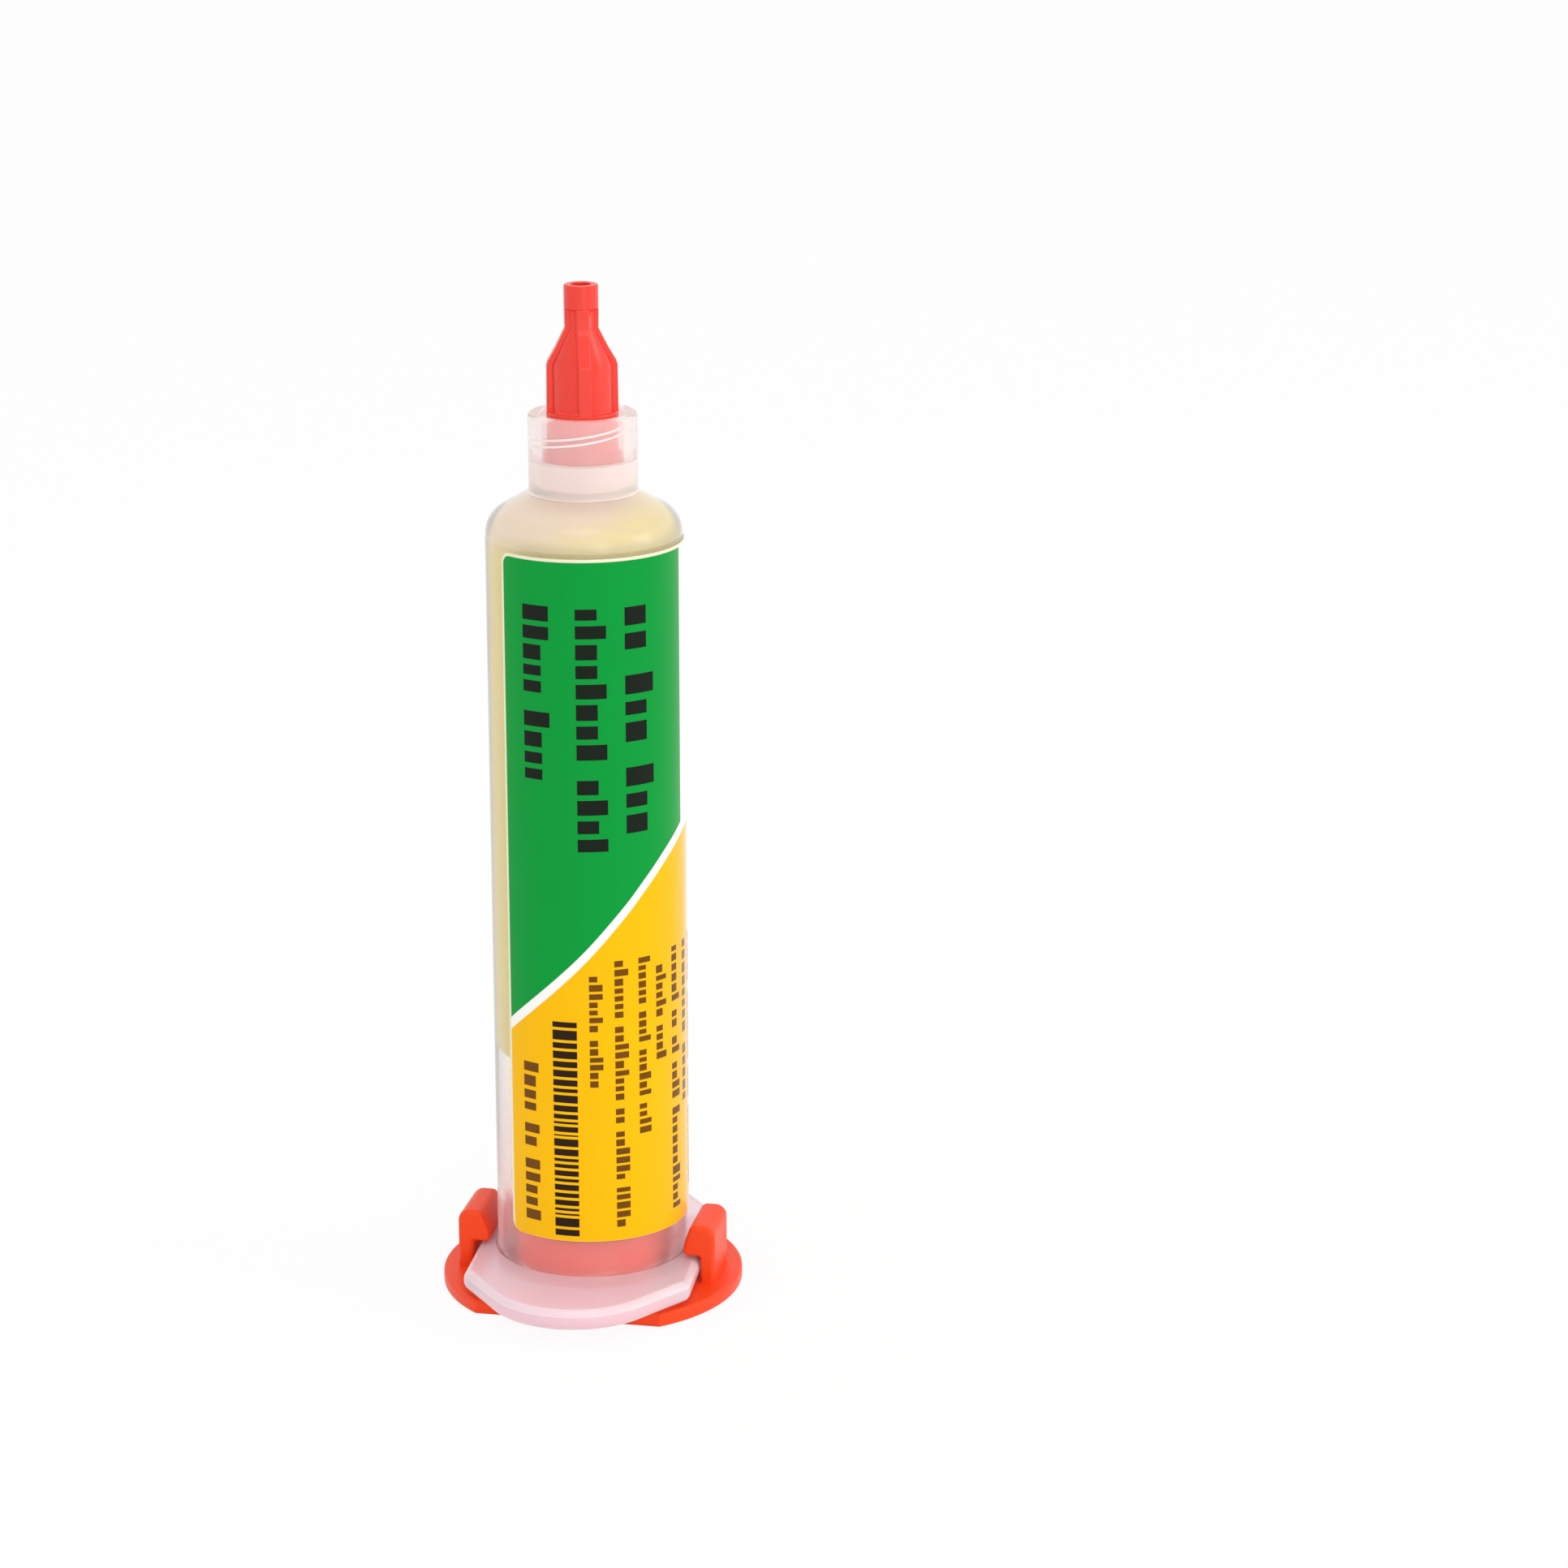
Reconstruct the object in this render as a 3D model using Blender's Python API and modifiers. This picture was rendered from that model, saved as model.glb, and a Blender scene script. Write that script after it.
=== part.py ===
"""Flux paste syringe: a translucent moulded barrel with a screw-on nozzle collar, standing on its end cap.

Run it with: blender --background --python part.py
Metres, +Z up. The origin is the centre of the end cap's underside, the nozzle points up, the snap
hooks are on the X axis and the finger grips are on the Y axis. Azimuths start at -Y, towards +X.
"""

import math

import bmesh
import bpy
from mathutils import Matrix, Vector

MM = 0.001
ROUND_STEPS = 64            # facets round the barrel and what fits in it
CAP_STEPS = 48              # facets round the tip cap

# Clearances
SEAT = 0.3 * MM             # between mouldings that touch
SLIDE_FIT = 0.06 * MM       # radial, piston lips in the bore
PASTE_GAP = 0.1 * MM        # between the paste and what holds it
LABEL_GAP = 0.05 * MM       # between the label film and the barrel

# End cap: plate, snap hooks and plug
PLATE_THICKNESS = 1.5 * MM
PLATE_RADIUS = 15.6 * MM
PLATE_LEDGE = 0.4 * MM      # of its flat sides beyond the flange's
PLATE_EDGE = 0.35 * MM
HOOK_WIDTH = 7.1 * MM
HOOK_POST = 1.55 * MM       # thickness of the upright
HOOK_REACH = 1.5 * MM       # of the lip over the flange's flat side
HOOK_LIP = 1.0 * MM         # height of the lip's blunt end
HOOK_HEAD = 3.35 * MM       # from the lip's underside to the hook's top
HOOK_LEAD = 0.8 * MM        # width of the lead-in slope
HOOK_CROWN = 1.2 * MM       # radius of the hook's outer top corner
HOOK_EDGE = 0.3 * MM
PLUG_HEIGHT = 6.1 * MM      # above the plate
PLUG_WALL = 1.25 * MM
PLUG_LEAD = 0.7 * MM        # chamfer at the plug's top
CAP_PLAY = 0.6              # share of the hooks' play that the cap's turn on the flange takes up

# Barrel
BARREL_LENGTH = 90.4 * MM   # flange underside to collar rim
BARREL_RADIUS = 9.88 * MM
BARREL_WALL = 1.88 * MM
BORE_CHAMFER = 0.35 * MM
FLANGE_THICKNESS = 2.3 * MM
FLANGE_LEDGE = 1.92 * MM    # of its flat sides beyond the barrel
FLANGE_SIDE = 9.6 * MM      # from the axis to the centre of each corner's round, along the flat
FLANGE_CORNER = 1.2 * MM    # radius of the corners
FLANGE_EDGE = 0.55 * MM
FLANGE_FILLET = 0.5 * MM
GRIP_REACH = 19.4 * MM      # from the axis to the end of each finger grip
GRIP_RADIUS = 9.6 * MM      # rounded end of each finger grip
SHOULDER_RADIUS = 3.0 * MM
SHOULDER_SLOPE = math.radians(29.5)
COLLAR_RADIUS = 5.45 * MM
COLLAR_BORE = 4.15 * MM
COLLAR_HEIGHT = 7.95 * MM   # rim above the shoulder's top
COLLAR_DEPTH = 7.4 * MM     # rim above the collar's floor
COLLAR_EDGE = 0.3 * MM
NOZZLE_RADIUS = 1.97 * MM   # at its mouth
NOZZLE_TAPER = 0.03         # growth of the radius for each unit of length
NOZZLE_BORE = 0.9 * MM
NOZZLE_PROUD = 2.1 * MM     # mouth above the rim

# Piston and paste
PISTON_LIFT = 3.8 * MM      # its back end above the plug
PISTON_LENGTH = 14.0 * MM
PISTON_LIP = 1.6 * MM       # height of each sealing lip
PISTON_GROOVE = 0.45 * MM   # depth between the lips
PISTON_WALL = 1.3 * MM
PISTON_FACE = 2.2 * MM      # thickness of the front face

# Tip cap
STEM_RADIUS = 1.72 * MM
STEM_LENGTH = 2.3 * MM      # round top of the stem
STEM_HOLE_RADIUS = 1.0 * MM
STEM_HOLE_DEPTH = 1.5 * MM
CAP_RISE = 12.8 * MM        # stem top above the collar rim
CAP_ENTRY = 4.8 * MM        # cap bottom below the collar rim
CAP_RADIUS = 3.56 * MM      # inside the collar
CORE_RADIUS = 1.4 * MM      # between the ribs of the stem
HUB_RADIUS = 3.05 * MM      # between the ribs of the body
RIB_THICKNESS = 1.3 * MM
RIB_TURN = math.radians(15.0)
RIB_SHAPE = (               # radius and height under the stem's top
    (1.69 * MM, 2.3 * MM),
    (1.66 * MM, 4.3 * MM),
    (2.10 * MM, 5.2 * MM),
    (2.60 * MM, 6.2 * MM),
    (3.40 * MM, 7.6 * MM),
    (3.52 * MM, 8.0 * MM),
    (3.56 * MM, 12.6 * MM),
)
FLARE_TOP = 4.4 * MM        # start and end of the core's flare, under the stem's top
FLARE_END = 7.9 * MM
LUG_RADIUS = 3.95 * MM
LUG_WIDTH = 4.4 * MM
LUG_HEIGHT = 0.9 * MM

# Label
LABEL_DROP = 0.49 * MM      # upper edge under the shoulder's round
LABEL_WRAP = 50.0 * MM      # its length round the barrel
LABEL_LIFT = 3.8 * MM       # lower edge above the flange
LABEL_AZIMUTH = math.radians(-44.2)
LABEL_THICKNESS = 0.12 * MM
LABEL_CORNER = 1.2 * MM

# What follows from these
BORE_RADIUS = BARREL_RADIUS - BARREL_WALL
FLANGE_FLAT = BARREL_RADIUS + FLANGE_LEDGE     # from the axis to each flat side
PLATE_FLAT = FLANGE_FLAT + PLATE_LEDGE
CAP_TURN = -CAP_PLAY * math.atan(2.0 * SEAT / HOOK_WIDTH)
FLANGE_BOTTOM = PLATE_THICKNESS + SEAT
FLANGE_TOP = FLANGE_BOTTOM + FLANGE_THICKNESS
COLLAR_RIM = FLANGE_BOTTOM + BARREL_LENGTH
COLLAR_ROOT = COLLAR_RIM - COLLAR_HEIGHT
COLLAR_FLOOR = COLLAR_RIM - COLLAR_DEPTH
NOZZLE_TOP = COLLAR_RIM + NOZZLE_PROUD
STEM_TOP = COLLAR_RIM + CAP_RISE
CAP_BOTTOM = COLLAR_RIM - CAP_ENTRY
ARC_LIFT = math.pi / 2 - SHOULDER_SLOPE    # how far the shoulder's arc turns
SHOULDER_CENTRE = BARREL_RADIUS - SHOULDER_RADIUS
SHOULDER_TANGENT = SHOULDER_CENTRE + SHOULDER_RADIUS * math.cos(ARC_LIFT)
SHOULDER_START = (
    COLLAR_ROOT
    - SHOULDER_RADIUS * math.sin(ARC_LIFT)
    - (SHOULDER_TANGENT - COLLAR_RADIUS) * math.tan(SHOULDER_SLOPE)
)
PISTON_BOTTOM = PLATE_THICKNESS + PLUG_HEIGHT + PISTON_LIFT
PISTON_TOP = PISTON_BOTTOM + PISTON_LENGTH
LABEL_BOTTOM = FLANGE_TOP + LABEL_LIFT
LABEL_TOP = SHOULDER_START - LABEL_DROP


def clear_scene():
    for obj in list(bpy.data.objects):
        bpy.data.objects.remove(obj)


def add_collection(name):
    collection = bpy.data.collections.new(name)
    bpy.context.scene.collection.children.link(collection)
    return collection


def plastic(name, colour, roughness, alpha=1.0):
    material = bpy.data.materials.new(name)
    material.use_nodes = True
    shader = material.node_tree.nodes["Principled BSDF"]
    shader.inputs["Base Color"].default_value = (*colour, 1.0)
    shader.inputs["Roughness"].default_value = roughness
    shader.inputs["Metallic"].default_value = 0.0
    shader.inputs["Alpha"].default_value = alpha
    material.diffuse_color = (*colour, alpha)
    return material


def add_object(name, mesh, collection):
    obj = bpy.data.objects.new(name, mesh)
    collection.objects.link(obj)
    return obj


def as_helper(obj):
    """Keeps a cutter, or a shape that is joined to another, out of the render."""
    obj.hide_render = True
    obj.display_type = "WIRE"
    return obj


def arc(centre, radius, start, end, steps):
    """Points on a circle from one angle to another, both ends included."""
    turn = (end - start) / steps
    angles = [start + turn * i for i in range(steps + 1)]
    return [(centre[0] + radius * math.cos(a), centre[1] + radius * math.sin(a)) for a in angles]


def turned(name, profile, collection, steps, closed):
    """A solid of revolution about Z. The profile runs down its outer side; closed joins its ends."""
    mesh = bpy.data.meshes.new(name)
    edges = [(i, i + 1) for i in range(len(profile) - 1)]
    if closed:
        edges.append((len(profile) - 1, 0))
    mesh.from_pydata([(r, 0.0, z) for r, z in profile], edges, [])
    obj = add_object(name, mesh, collection)
    screw = obj.modifiers.new("Turn", "SCREW")
    screw.axis = "Z"
    screw.angle = 2.0 * math.pi
    screw.steps = steps
    screw.render_steps = steps
    screw.use_merge_vertices = True
    screw.merge_threshold = 1e-6
    screw.use_smooth_shade = True
    return obj


def flat_plate(name, outline, bottom, thickness, collection):
    """A flat moulding: a filled 2D curve extruded to its thickness, then made a welded mesh."""
    curve = bpy.data.curves.new(name, "CURVE")
    curve.dimensions = "2D"
    curve.fill_mode = "BOTH"
    curve.extrude = thickness / 2
    spline = curve.splines.new("POLY")
    spline.points.add(len(outline) - 1)
    for point, (x, y) in zip(spline.points, outline):
        point.co = (x, y, 0.0, 1.0)
    spline.use_cyclic_u = True
    guide = add_object(name + "_curve", curve, collection)
    guide.location.z = bottom + thickness / 2
    bpy.context.view_layer.update()
    graph = bpy.context.evaluated_depsgraph_get()
    mesh = bpy.data.meshes.new_from_object(guide.evaluated_get(graph))
    plate = add_object(name, mesh, collection)
    plate.matrix_world = guide.matrix_world
    bpy.data.objects.remove(guide)
    shape = bmesh.new()
    shape.from_mesh(mesh)
    bmesh.ops.remove_doubles(shape, verts=shape.verts, dist=1e-7)
    bmesh.ops.recalc_face_normals(shape, faces=shape.faces)
    shape.to_mesh(mesh)
    shape.free()
    return plate


def round_edges(obj, width, segments=2):
    """Rounds the edges that turn more than 50 degrees."""
    bevel = obj.modifiers.new("Edges", "BEVEL")
    bevel.width = width
    bevel.segments = segments
    bevel.limit_method = "ANGLE"
    bevel.angle_limit = math.radians(50.0)


def combine(obj, other, operation):
    cut = obj.modifiers.new(other.name, "BOOLEAN")
    cut.operation = operation
    cut.solver = "EXACT"
    cut.object = other


def finish(obj, material):
    """Gives a part its material and shades its round faces smooth."""
    obj.data.materials.append(material)
    obj.data.shade_smooth()


def shoulder_line(offset):
    """The shoulder's rounded corner and the start of its slope, offset inwards from the outside."""
    centre = (SHOULDER_CENTRE, SHOULDER_START)
    return arc(centre, SHOULDER_RADIUS - offset, ARC_LIFT, 0.0, 5)


def slope_height(radius, offset):
    """Height of the shoulder's slope at a radius, for a surface offset inwards from the outside."""
    tangent_r, tangent_z = shoulder_line(offset)[0]
    return tangent_z + (tangent_r - radius) * math.tan(SHOULDER_SLOPE)


def barrel_profile():
    """From the nozzle's mouth down its outside, up the collar, down the body and up the bore."""
    wall = BARREL_RADIUS - BORE_RADIUS
    root_radius = NOZZLE_RADIUS + NOZZLE_TAPER * (NOZZLE_TOP - COLLAR_FLOOR)
    fillet_centre = (BARREL_RADIUS + FLANGE_FILLET, FLANGE_TOP + 0.9 * FLANGE_FILLET)
    profile = [
        (NOZZLE_BORE, NOZZLE_TOP),
        (NOZZLE_RADIUS - 0.5 * COLLAR_EDGE, NOZZLE_TOP),
        (NOZZLE_RADIUS, NOZZLE_TOP - 0.5 * COLLAR_EDGE),
        (root_radius, COLLAR_FLOOR),
        (COLLAR_BORE, COLLAR_FLOOR),
        (COLLAR_BORE, COLLAR_RIM - COLLAR_EDGE),
        (COLLAR_BORE + COLLAR_EDGE, COLLAR_RIM),
        (COLLAR_RADIUS - COLLAR_EDGE, COLLAR_RIM),
        (COLLAR_RADIUS, COLLAR_RIM - COLLAR_EDGE),
        (COLLAR_RADIUS, COLLAR_ROOT),
    ]
    profile += shoulder_line(0.0)
    profile += arc(fillet_centre, FLANGE_FILLET, math.pi, 1.5 * math.pi, 3)
    profile += [
        (BARREL_RADIUS + FLANGE_FILLET, FLANGE_BOTTOM),
        (BORE_RADIUS + BORE_CHAMFER, FLANGE_BOTTOM),
        (BORE_RADIUS, FLANGE_BOTTOM + BORE_CHAMFER),
    ]
    profile += reversed(shoulder_line(wall))
    profile.append((NOZZLE_BORE, slope_height(NOZZLE_BORE, wall)))
    return profile


def flange_outline():
    """Two flat sides, then straight tapers from rounded corners to a round finger grip at each end."""
    corner_x = FLANGE_FLAT - FLANGE_CORNER
    grip_centre = GRIP_REACH - GRIP_RADIUS
    rise = grip_centre - FLANGE_SIDE
    away = math.hypot(corner_x, rise)
    turn = math.atan2(rise, -corner_x) % (2.0 * math.pi)
    taper = turn - math.acos((FLANGE_CORNER - GRIP_RADIUS) / away)
    half = arc((corner_x, FLANGE_SIDE), FLANGE_CORNER, 0.0, taper, 3)
    half += arc((0.0, grip_centre), GRIP_RADIUS, taper, math.pi - taper, 26)
    half += arc((-corner_x, FLANGE_SIDE), FLANGE_CORNER, math.pi - taper, math.pi, 3)
    return half + [(-x, -y) for x, y in half]


def make_barrel(parts, helpers):
    barrel = turned("barrel", barrel_profile(), parts, ROUND_STEPS, closed=True)
    flange = flat_plate("flange", flange_outline(), FLANGE_BOTTOM, FLANGE_THICKNESS, helpers)
    round_edges(flange, FLANGE_EDGE)
    middle = (BORE_RADIUS + BORE_CHAMFER + BARREL_RADIUS) / 2
    hole_top = FLANGE_TOP + FLANGE_THICKNESS
    hole_bottom = FLANGE_BOTTOM - FLANGE_THICKNESS
    hole_profile = [(0.0, hole_top), (middle, hole_top), (middle, hole_bottom), (0.0, hole_bottom)]
    hole = turned("flange_hole", hole_profile, helpers, ROUND_STEPS, closed=False)
    combine(flange, hole, "DIFFERENCE")
    combine(barrel, flange, "UNION")
    as_helper(hole)
    as_helper(flange)
    finish(barrel, plastic("barrel_plastic", (0.86, 0.78, 0.78), 0.35, 0.55))


def plate_outline():
    """A disc with two flat sides, turned with the hooks."""
    corner = math.asin(PLATE_FLAT / PLATE_RADIUS)
    half = arc((0.0, 0.0), PLATE_RADIUS, CAP_TURN - corner, CAP_TURN + corner, 20)
    return half + [(-x, -y) for x, y in half]


def hook_outline():
    """Side view of one snap hook: upright, lip over the flange and sloped lead-in."""
    inner = FLANGE_FLAT + SEAT
    outer = inner + HOOK_POST
    tip = FLANGE_FLAT - HOOK_REACH
    lip = FLANGE_TOP + SEAT
    top = lip + HOOK_HEAD
    foot = PLATE_THICKNESS / 2
    outline = [(inner, foot), (inner, lip), (tip, lip), (tip, lip + HOOK_LIP), (tip + HOOK_LEAD, top)]
    outline += arc((outer - HOOK_CROWN, top - HOOK_CROWN), HOOK_CROWN, math.pi / 2, 0.0, 4)
    outline.append((outer, foot))
    return outline


def make_hook(name, side, helpers):
    hook = flat_plate(name, hook_outline(), -HOOK_WIDTH / 2, HOOK_WIDTH, helpers)
    stand = Matrix.Rotation(math.pi / 2, 4, "X")
    facing = Matrix.Rotation(CAP_TURN + (0.0 if side > 0 else math.pi), 4, "Z")
    hook.data.transform(facing @ stand @ hook.matrix_world)
    hook.matrix_world = Matrix.Identity(4)
    round_edges(hook, HOOK_EDGE)
    return as_helper(hook)


def plug_profile():
    """A cup that plugs the bore, open underneath."""
    outer = BORE_RADIUS - SEAT
    inner = outer - PLUG_WALL
    top = PLATE_THICKNESS + PLUG_HEIGHT
    return [
        (0.0, top),
        (outer - PLUG_LEAD, top),
        (outer, top - PLUG_LEAD),
        (outer, PLATE_THICKNESS / 2),
        (inner, PLATE_THICKNESS / 2),
        (inner, top - PLUG_WALL),
        (0.0, top - PLUG_WALL),
    ]


def recess_profile():
    """The round space under the plug, cut through the plate."""
    radius = BORE_RADIUS - SEAT - PLUG_WALL
    top = PLATE_THICKNESS + PLUG_HEIGHT - PLUG_WALL
    return [(0.0, top), (radius, top), (radius, -PLATE_THICKNESS), (0.0, -PLATE_THICKNESS)]


def make_end_cap(parts, helpers):
    cap = flat_plate("end_cap", plate_outline(), 0.0, PLATE_THICKNESS, parts)
    round_edges(cap, PLATE_EDGE)
    plug = turned("plug", plug_profile(), helpers, ROUND_STEPS, closed=False)
    recess = turned("plug_recess", recess_profile(), helpers, ROUND_STEPS, closed=False)
    combine(cap, as_helper(plug), "UNION")
    combine(cap, as_helper(recess), "DIFFERENCE")
    for name, side in (("hook_right", 1), ("hook_left", -1)):
        combine(cap, make_hook(name, side, helpers), "UNION")
    finish(cap, plastic("end_cap_plastic", (0.98, 0.10, 0.03), 0.38))


def piston_profile():
    """A hollow piston with a sealing lip at each end, open at the back."""
    lip = BORE_RADIUS - SLIDE_FIT
    body = lip - PISTON_GROOVE
    hollow = body - PISTON_WALL
    hollow_top = PISTON_TOP - PISTON_FACE
    return [
        (0.0, PISTON_TOP),
        (body, PISTON_TOP),
        (lip, PISTON_TOP - PISTON_GROOVE),
        (lip, PISTON_TOP - PISTON_LIP),
        (body, PISTON_TOP - PISTON_LIP - PISTON_GROOVE),
        (body, PISTON_BOTTOM + PISTON_LIP + PISTON_GROOVE),
        (lip, PISTON_BOTTOM + PISTON_LIP),
        (lip, PISTON_BOTTOM),
        (hollow, PISTON_BOTTOM),
        (hollow, hollow_top - PISTON_WALL),
        (hollow - PISTON_WALL, hollow_top),
        (0.0, hollow_top),
    ]


def make_piston(parts):
    piston = turned("piston", piston_profile(), parts, ROUND_STEPS, closed=False)
    finish(piston, plastic("piston_plastic", (0.90, 0.86, 0.84), 0.45))


def paste_profile():
    """Paste from the piston's face up into the nose, in the bore's shape."""
    offset = BARREL_RADIUS - BORE_RADIUS + PASTE_GAP
    nose_radius = NOZZLE_BORE - PASTE_GAP
    nose_top = slope_height(nose_radius, offset)
    bottom = PISTON_TOP + PASTE_GAP
    profile = [(0.0, nose_top), (nose_radius, nose_top)]
    profile += shoulder_line(offset)
    return profile + [(BORE_RADIUS - PASTE_GAP, bottom), (0.0, bottom)]


def make_paste(parts):
    paste = turned("flux_paste", paste_profile(), parts, ROUND_STEPS, closed=False)
    finish(paste, plastic("paste", (0.86, 0.72, 0.36), 0.4))


def cap_profile():
    """Round core of the tip cap, from the floor of the hole in its stem to its bottom."""
    hole_floor = STEM_TOP - STEM_HOLE_DEPTH
    skirt_top = STEM_TOP - RIB_SHAPE[-1][1]
    chamfer = 0.3 * (CAP_RADIUS - HUB_RADIUS)
    return [
        (0.0, hole_floor),
        (STEM_HOLE_RADIUS, hole_floor),
        (STEM_HOLE_RADIUS, STEM_TOP),
        (STEM_RADIUS, STEM_TOP),
        (STEM_RADIUS, STEM_TOP - STEM_LENGTH),
        (CORE_RADIUS, STEM_TOP - STEM_LENGTH - (STEM_RADIUS - CORE_RADIUS)),
        (CORE_RADIUS, STEM_TOP - FLARE_TOP),
        (HUB_RADIUS, STEM_TOP - FLARE_END),
        (HUB_RADIUS, skirt_top + chamfer),
        (HUB_RADIUS + chamfer, skirt_top),
        (CAP_RADIUS, skirt_top - chamfer),
        (CAP_RADIUS, CAP_BOTTOM),
        (0.0, CAP_BOTTOM),
    ]


def rib_outline():
    """Both ribs on one diameter, as a flat outline of radius and height."""
    side = [(r, STEM_TOP - drop) for r, drop in RIB_SHAPE]
    side.append((RIB_SHAPE[-1][0], side[-1][1] - 0.5 * RIB_THICKNESS))
    return side + [(-r, z) for r, z in reversed(side)]


def make_rib_pair(name, turn, helpers):
    ribs = flat_plate(name, rib_outline(), -RIB_THICKNESS / 2, RIB_THICKNESS, helpers)
    stand = Matrix.Rotation(math.pi / 2, 4, "X")
    ribs.data.transform(Matrix.Rotation(turn, 4, "Z") @ stand @ ribs.matrix_world)
    ribs.matrix_world = Matrix.Identity(4)
    return as_helper(ribs)


def make_lugs(helpers):
    """Two lugs for the collar's thread: a disc cut down to a bar."""
    top = CAP_BOTTOM + LUG_HEIGHT
    profile = [(0.0, top), (LUG_RADIUS, top), (LUG_RADIUS, CAP_BOTTOM), (0.0, CAP_BOTTOM)]
    lugs = turned("lugs", profile, helpers, CAP_STEPS, closed=False)
    bar = bmesh.new()
    size = Matrix.Diagonal((3.0 * LUG_RADIUS, LUG_WIDTH, 3.0 * LUG_HEIGHT, 1.0))
    place = Matrix.Translation((0.0, 0.0, CAP_BOTTOM + LUG_HEIGHT / 2))
    bmesh.ops.create_cube(bar, size=1.0, matrix=place @ size)
    mesh = bpy.data.meshes.new("lug_bar")
    bar.to_mesh(mesh)
    bar.free()
    combine(lugs, as_helper(add_object("lug_bar", mesh, helpers)), "INTERSECT")
    return as_helper(lugs)


def socket_profile():
    """The tapered socket that fits over the nozzle."""
    top = NOZZLE_TOP + SEAT
    below = CAP_BOTTOM - LUG_HEIGHT
    mouth = NOZZLE_RADIUS + NOZZLE_TAPER * (NOZZLE_TOP - below) + SEAT
    return [(0.0, top), (NOZZLE_RADIUS + SEAT, top), (mouth, below), (0.0, below)]


def make_tip_cap(parts, helpers):
    cap = turned("tip_cap", cap_profile(), parts, CAP_STEPS, closed=False)
    for name, turn in (("ribs_front", RIB_TURN + math.pi / 2), ("ribs_side", RIB_TURN)):
        combine(cap, make_rib_pair(name, turn, helpers), "UNION")
    combine(cap, make_lugs(helpers), "UNION")
    socket = turned("socket", socket_profile(), helpers, CAP_STEPS, closed=False)
    combine(cap, as_helper(socket), "DIFFERENCE")
    finish(cap, plastic("tip_cap_plastic", (0.93, 0.07, 0.05), 0.35))


def corner_drop(distance):
    """How far a rounded corner pulls the label's edge in, at a distance from the label's end."""
    if distance >= LABEL_CORNER:
        return 0.0
    return LABEL_CORNER - math.sqrt(LABEL_CORNER**2 - (LABEL_CORNER - distance) ** 2)


def label_columns():
    """Distances along the label where its film is divided: close at the corners, then even."""
    corner = [LABEL_CORNER * (1.0 - math.cos(math.pi / 2 * i / 4)) for i in range(5)]
    count = round(ROUND_STEPS * LABEL_WRAP / (2.0 * math.pi * BARREL_RADIUS))
    step = (LABEL_WRAP - 2.0 * LABEL_CORNER) / count
    middle = [LABEL_CORNER + step * i for i in range(1, count)]
    return corner + middle + [LABEL_WRAP - d for d in reversed(corner)]


def make_label(parts):
    radius = BARREL_RADIUS + LABEL_GAP
    film = bmesh.new()
    columns = []
    for distance in label_columns():
        azimuth = LABEL_AZIMUTH + distance / radius
        drop = corner_drop(min(distance, LABEL_WRAP - distance))
        x, y = radius * math.sin(azimuth), -radius * math.cos(azimuth)
        ends = (LABEL_BOTTOM + drop, LABEL_TOP - drop)
        columns.append([film.verts.new(Vector((x, y, z))) for z in ends])
    for (low, high), (next_low, next_high) in zip(columns, columns[1:]):
        film.faces.new((low, next_low, next_high, high))
    mesh = bpy.data.meshes.new("label")
    film.to_mesh(mesh)
    film.free()
    label = add_object("label", mesh, parts)
    wall = label.modifiers.new("Film", "SOLIDIFY")
    wall.thickness = LABEL_THICKNESS
    wall.offset = 1.0
    finish(label, plastic("label_film", (0.02, 0.40, 0.13), 0.4))


def main():
    clear_scene()
    parts = add_collection("flux_syringe")
    helpers = add_collection("cutters")
    make_barrel(parts, helpers)
    make_end_cap(parts, helpers)
    make_piston(parts)
    make_paste(parts)
    make_tip_cap(parts, helpers)
    make_label(parts)


main()
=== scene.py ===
import math

import bmesh
import bpy
from mathutils import Matrix, Vector


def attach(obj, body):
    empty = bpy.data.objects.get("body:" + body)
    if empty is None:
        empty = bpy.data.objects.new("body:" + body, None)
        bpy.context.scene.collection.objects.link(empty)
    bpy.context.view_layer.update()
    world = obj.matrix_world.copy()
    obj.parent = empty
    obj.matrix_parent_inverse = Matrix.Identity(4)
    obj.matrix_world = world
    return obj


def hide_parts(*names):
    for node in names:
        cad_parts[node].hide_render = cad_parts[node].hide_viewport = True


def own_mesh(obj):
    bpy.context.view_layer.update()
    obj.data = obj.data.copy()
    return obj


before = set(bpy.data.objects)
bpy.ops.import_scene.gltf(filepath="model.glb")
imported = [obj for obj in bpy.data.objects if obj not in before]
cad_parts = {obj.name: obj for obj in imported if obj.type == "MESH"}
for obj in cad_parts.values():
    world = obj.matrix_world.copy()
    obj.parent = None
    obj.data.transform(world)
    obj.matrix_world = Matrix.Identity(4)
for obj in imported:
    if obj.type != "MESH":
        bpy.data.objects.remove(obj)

# Everything is modelled in millimetres and made metres when it becomes a piece.
# The nozzle points up, the hooks are on X, the finger grips on Y, azimuths run from -Y towards +X.

mm = 0.001
scene = bpy.context.scene
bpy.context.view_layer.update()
sameSpot = 2e-4              # mm; corners closer than this are one


# Meshes

def arc(centre, radius, start, end, steps):
    angles = [start + (end - start) * i / steps for i in range(steps + 1)]
    return [(centre[0] + radius * math.cos(a), centre[1] + radius * math.sin(a)) for a in angles]


def addObject(name, mesh):
    obj = bpy.data.objects.new(name, mesh)
    scene.collection.objects.link(obj)
    return obj


def meshFrom(shape, name):
    mesh = bpy.data.meshes.new(name)
    shape.to_mesh(mesh)
    shape.free()
    return mesh


def solidFrom(name, corners, faces):
    mesh = bpy.data.meshes.new(name)
    mesh.from_pydata(corners, [], faces)
    mesh.update()
    return addObject(name, mesh)


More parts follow.
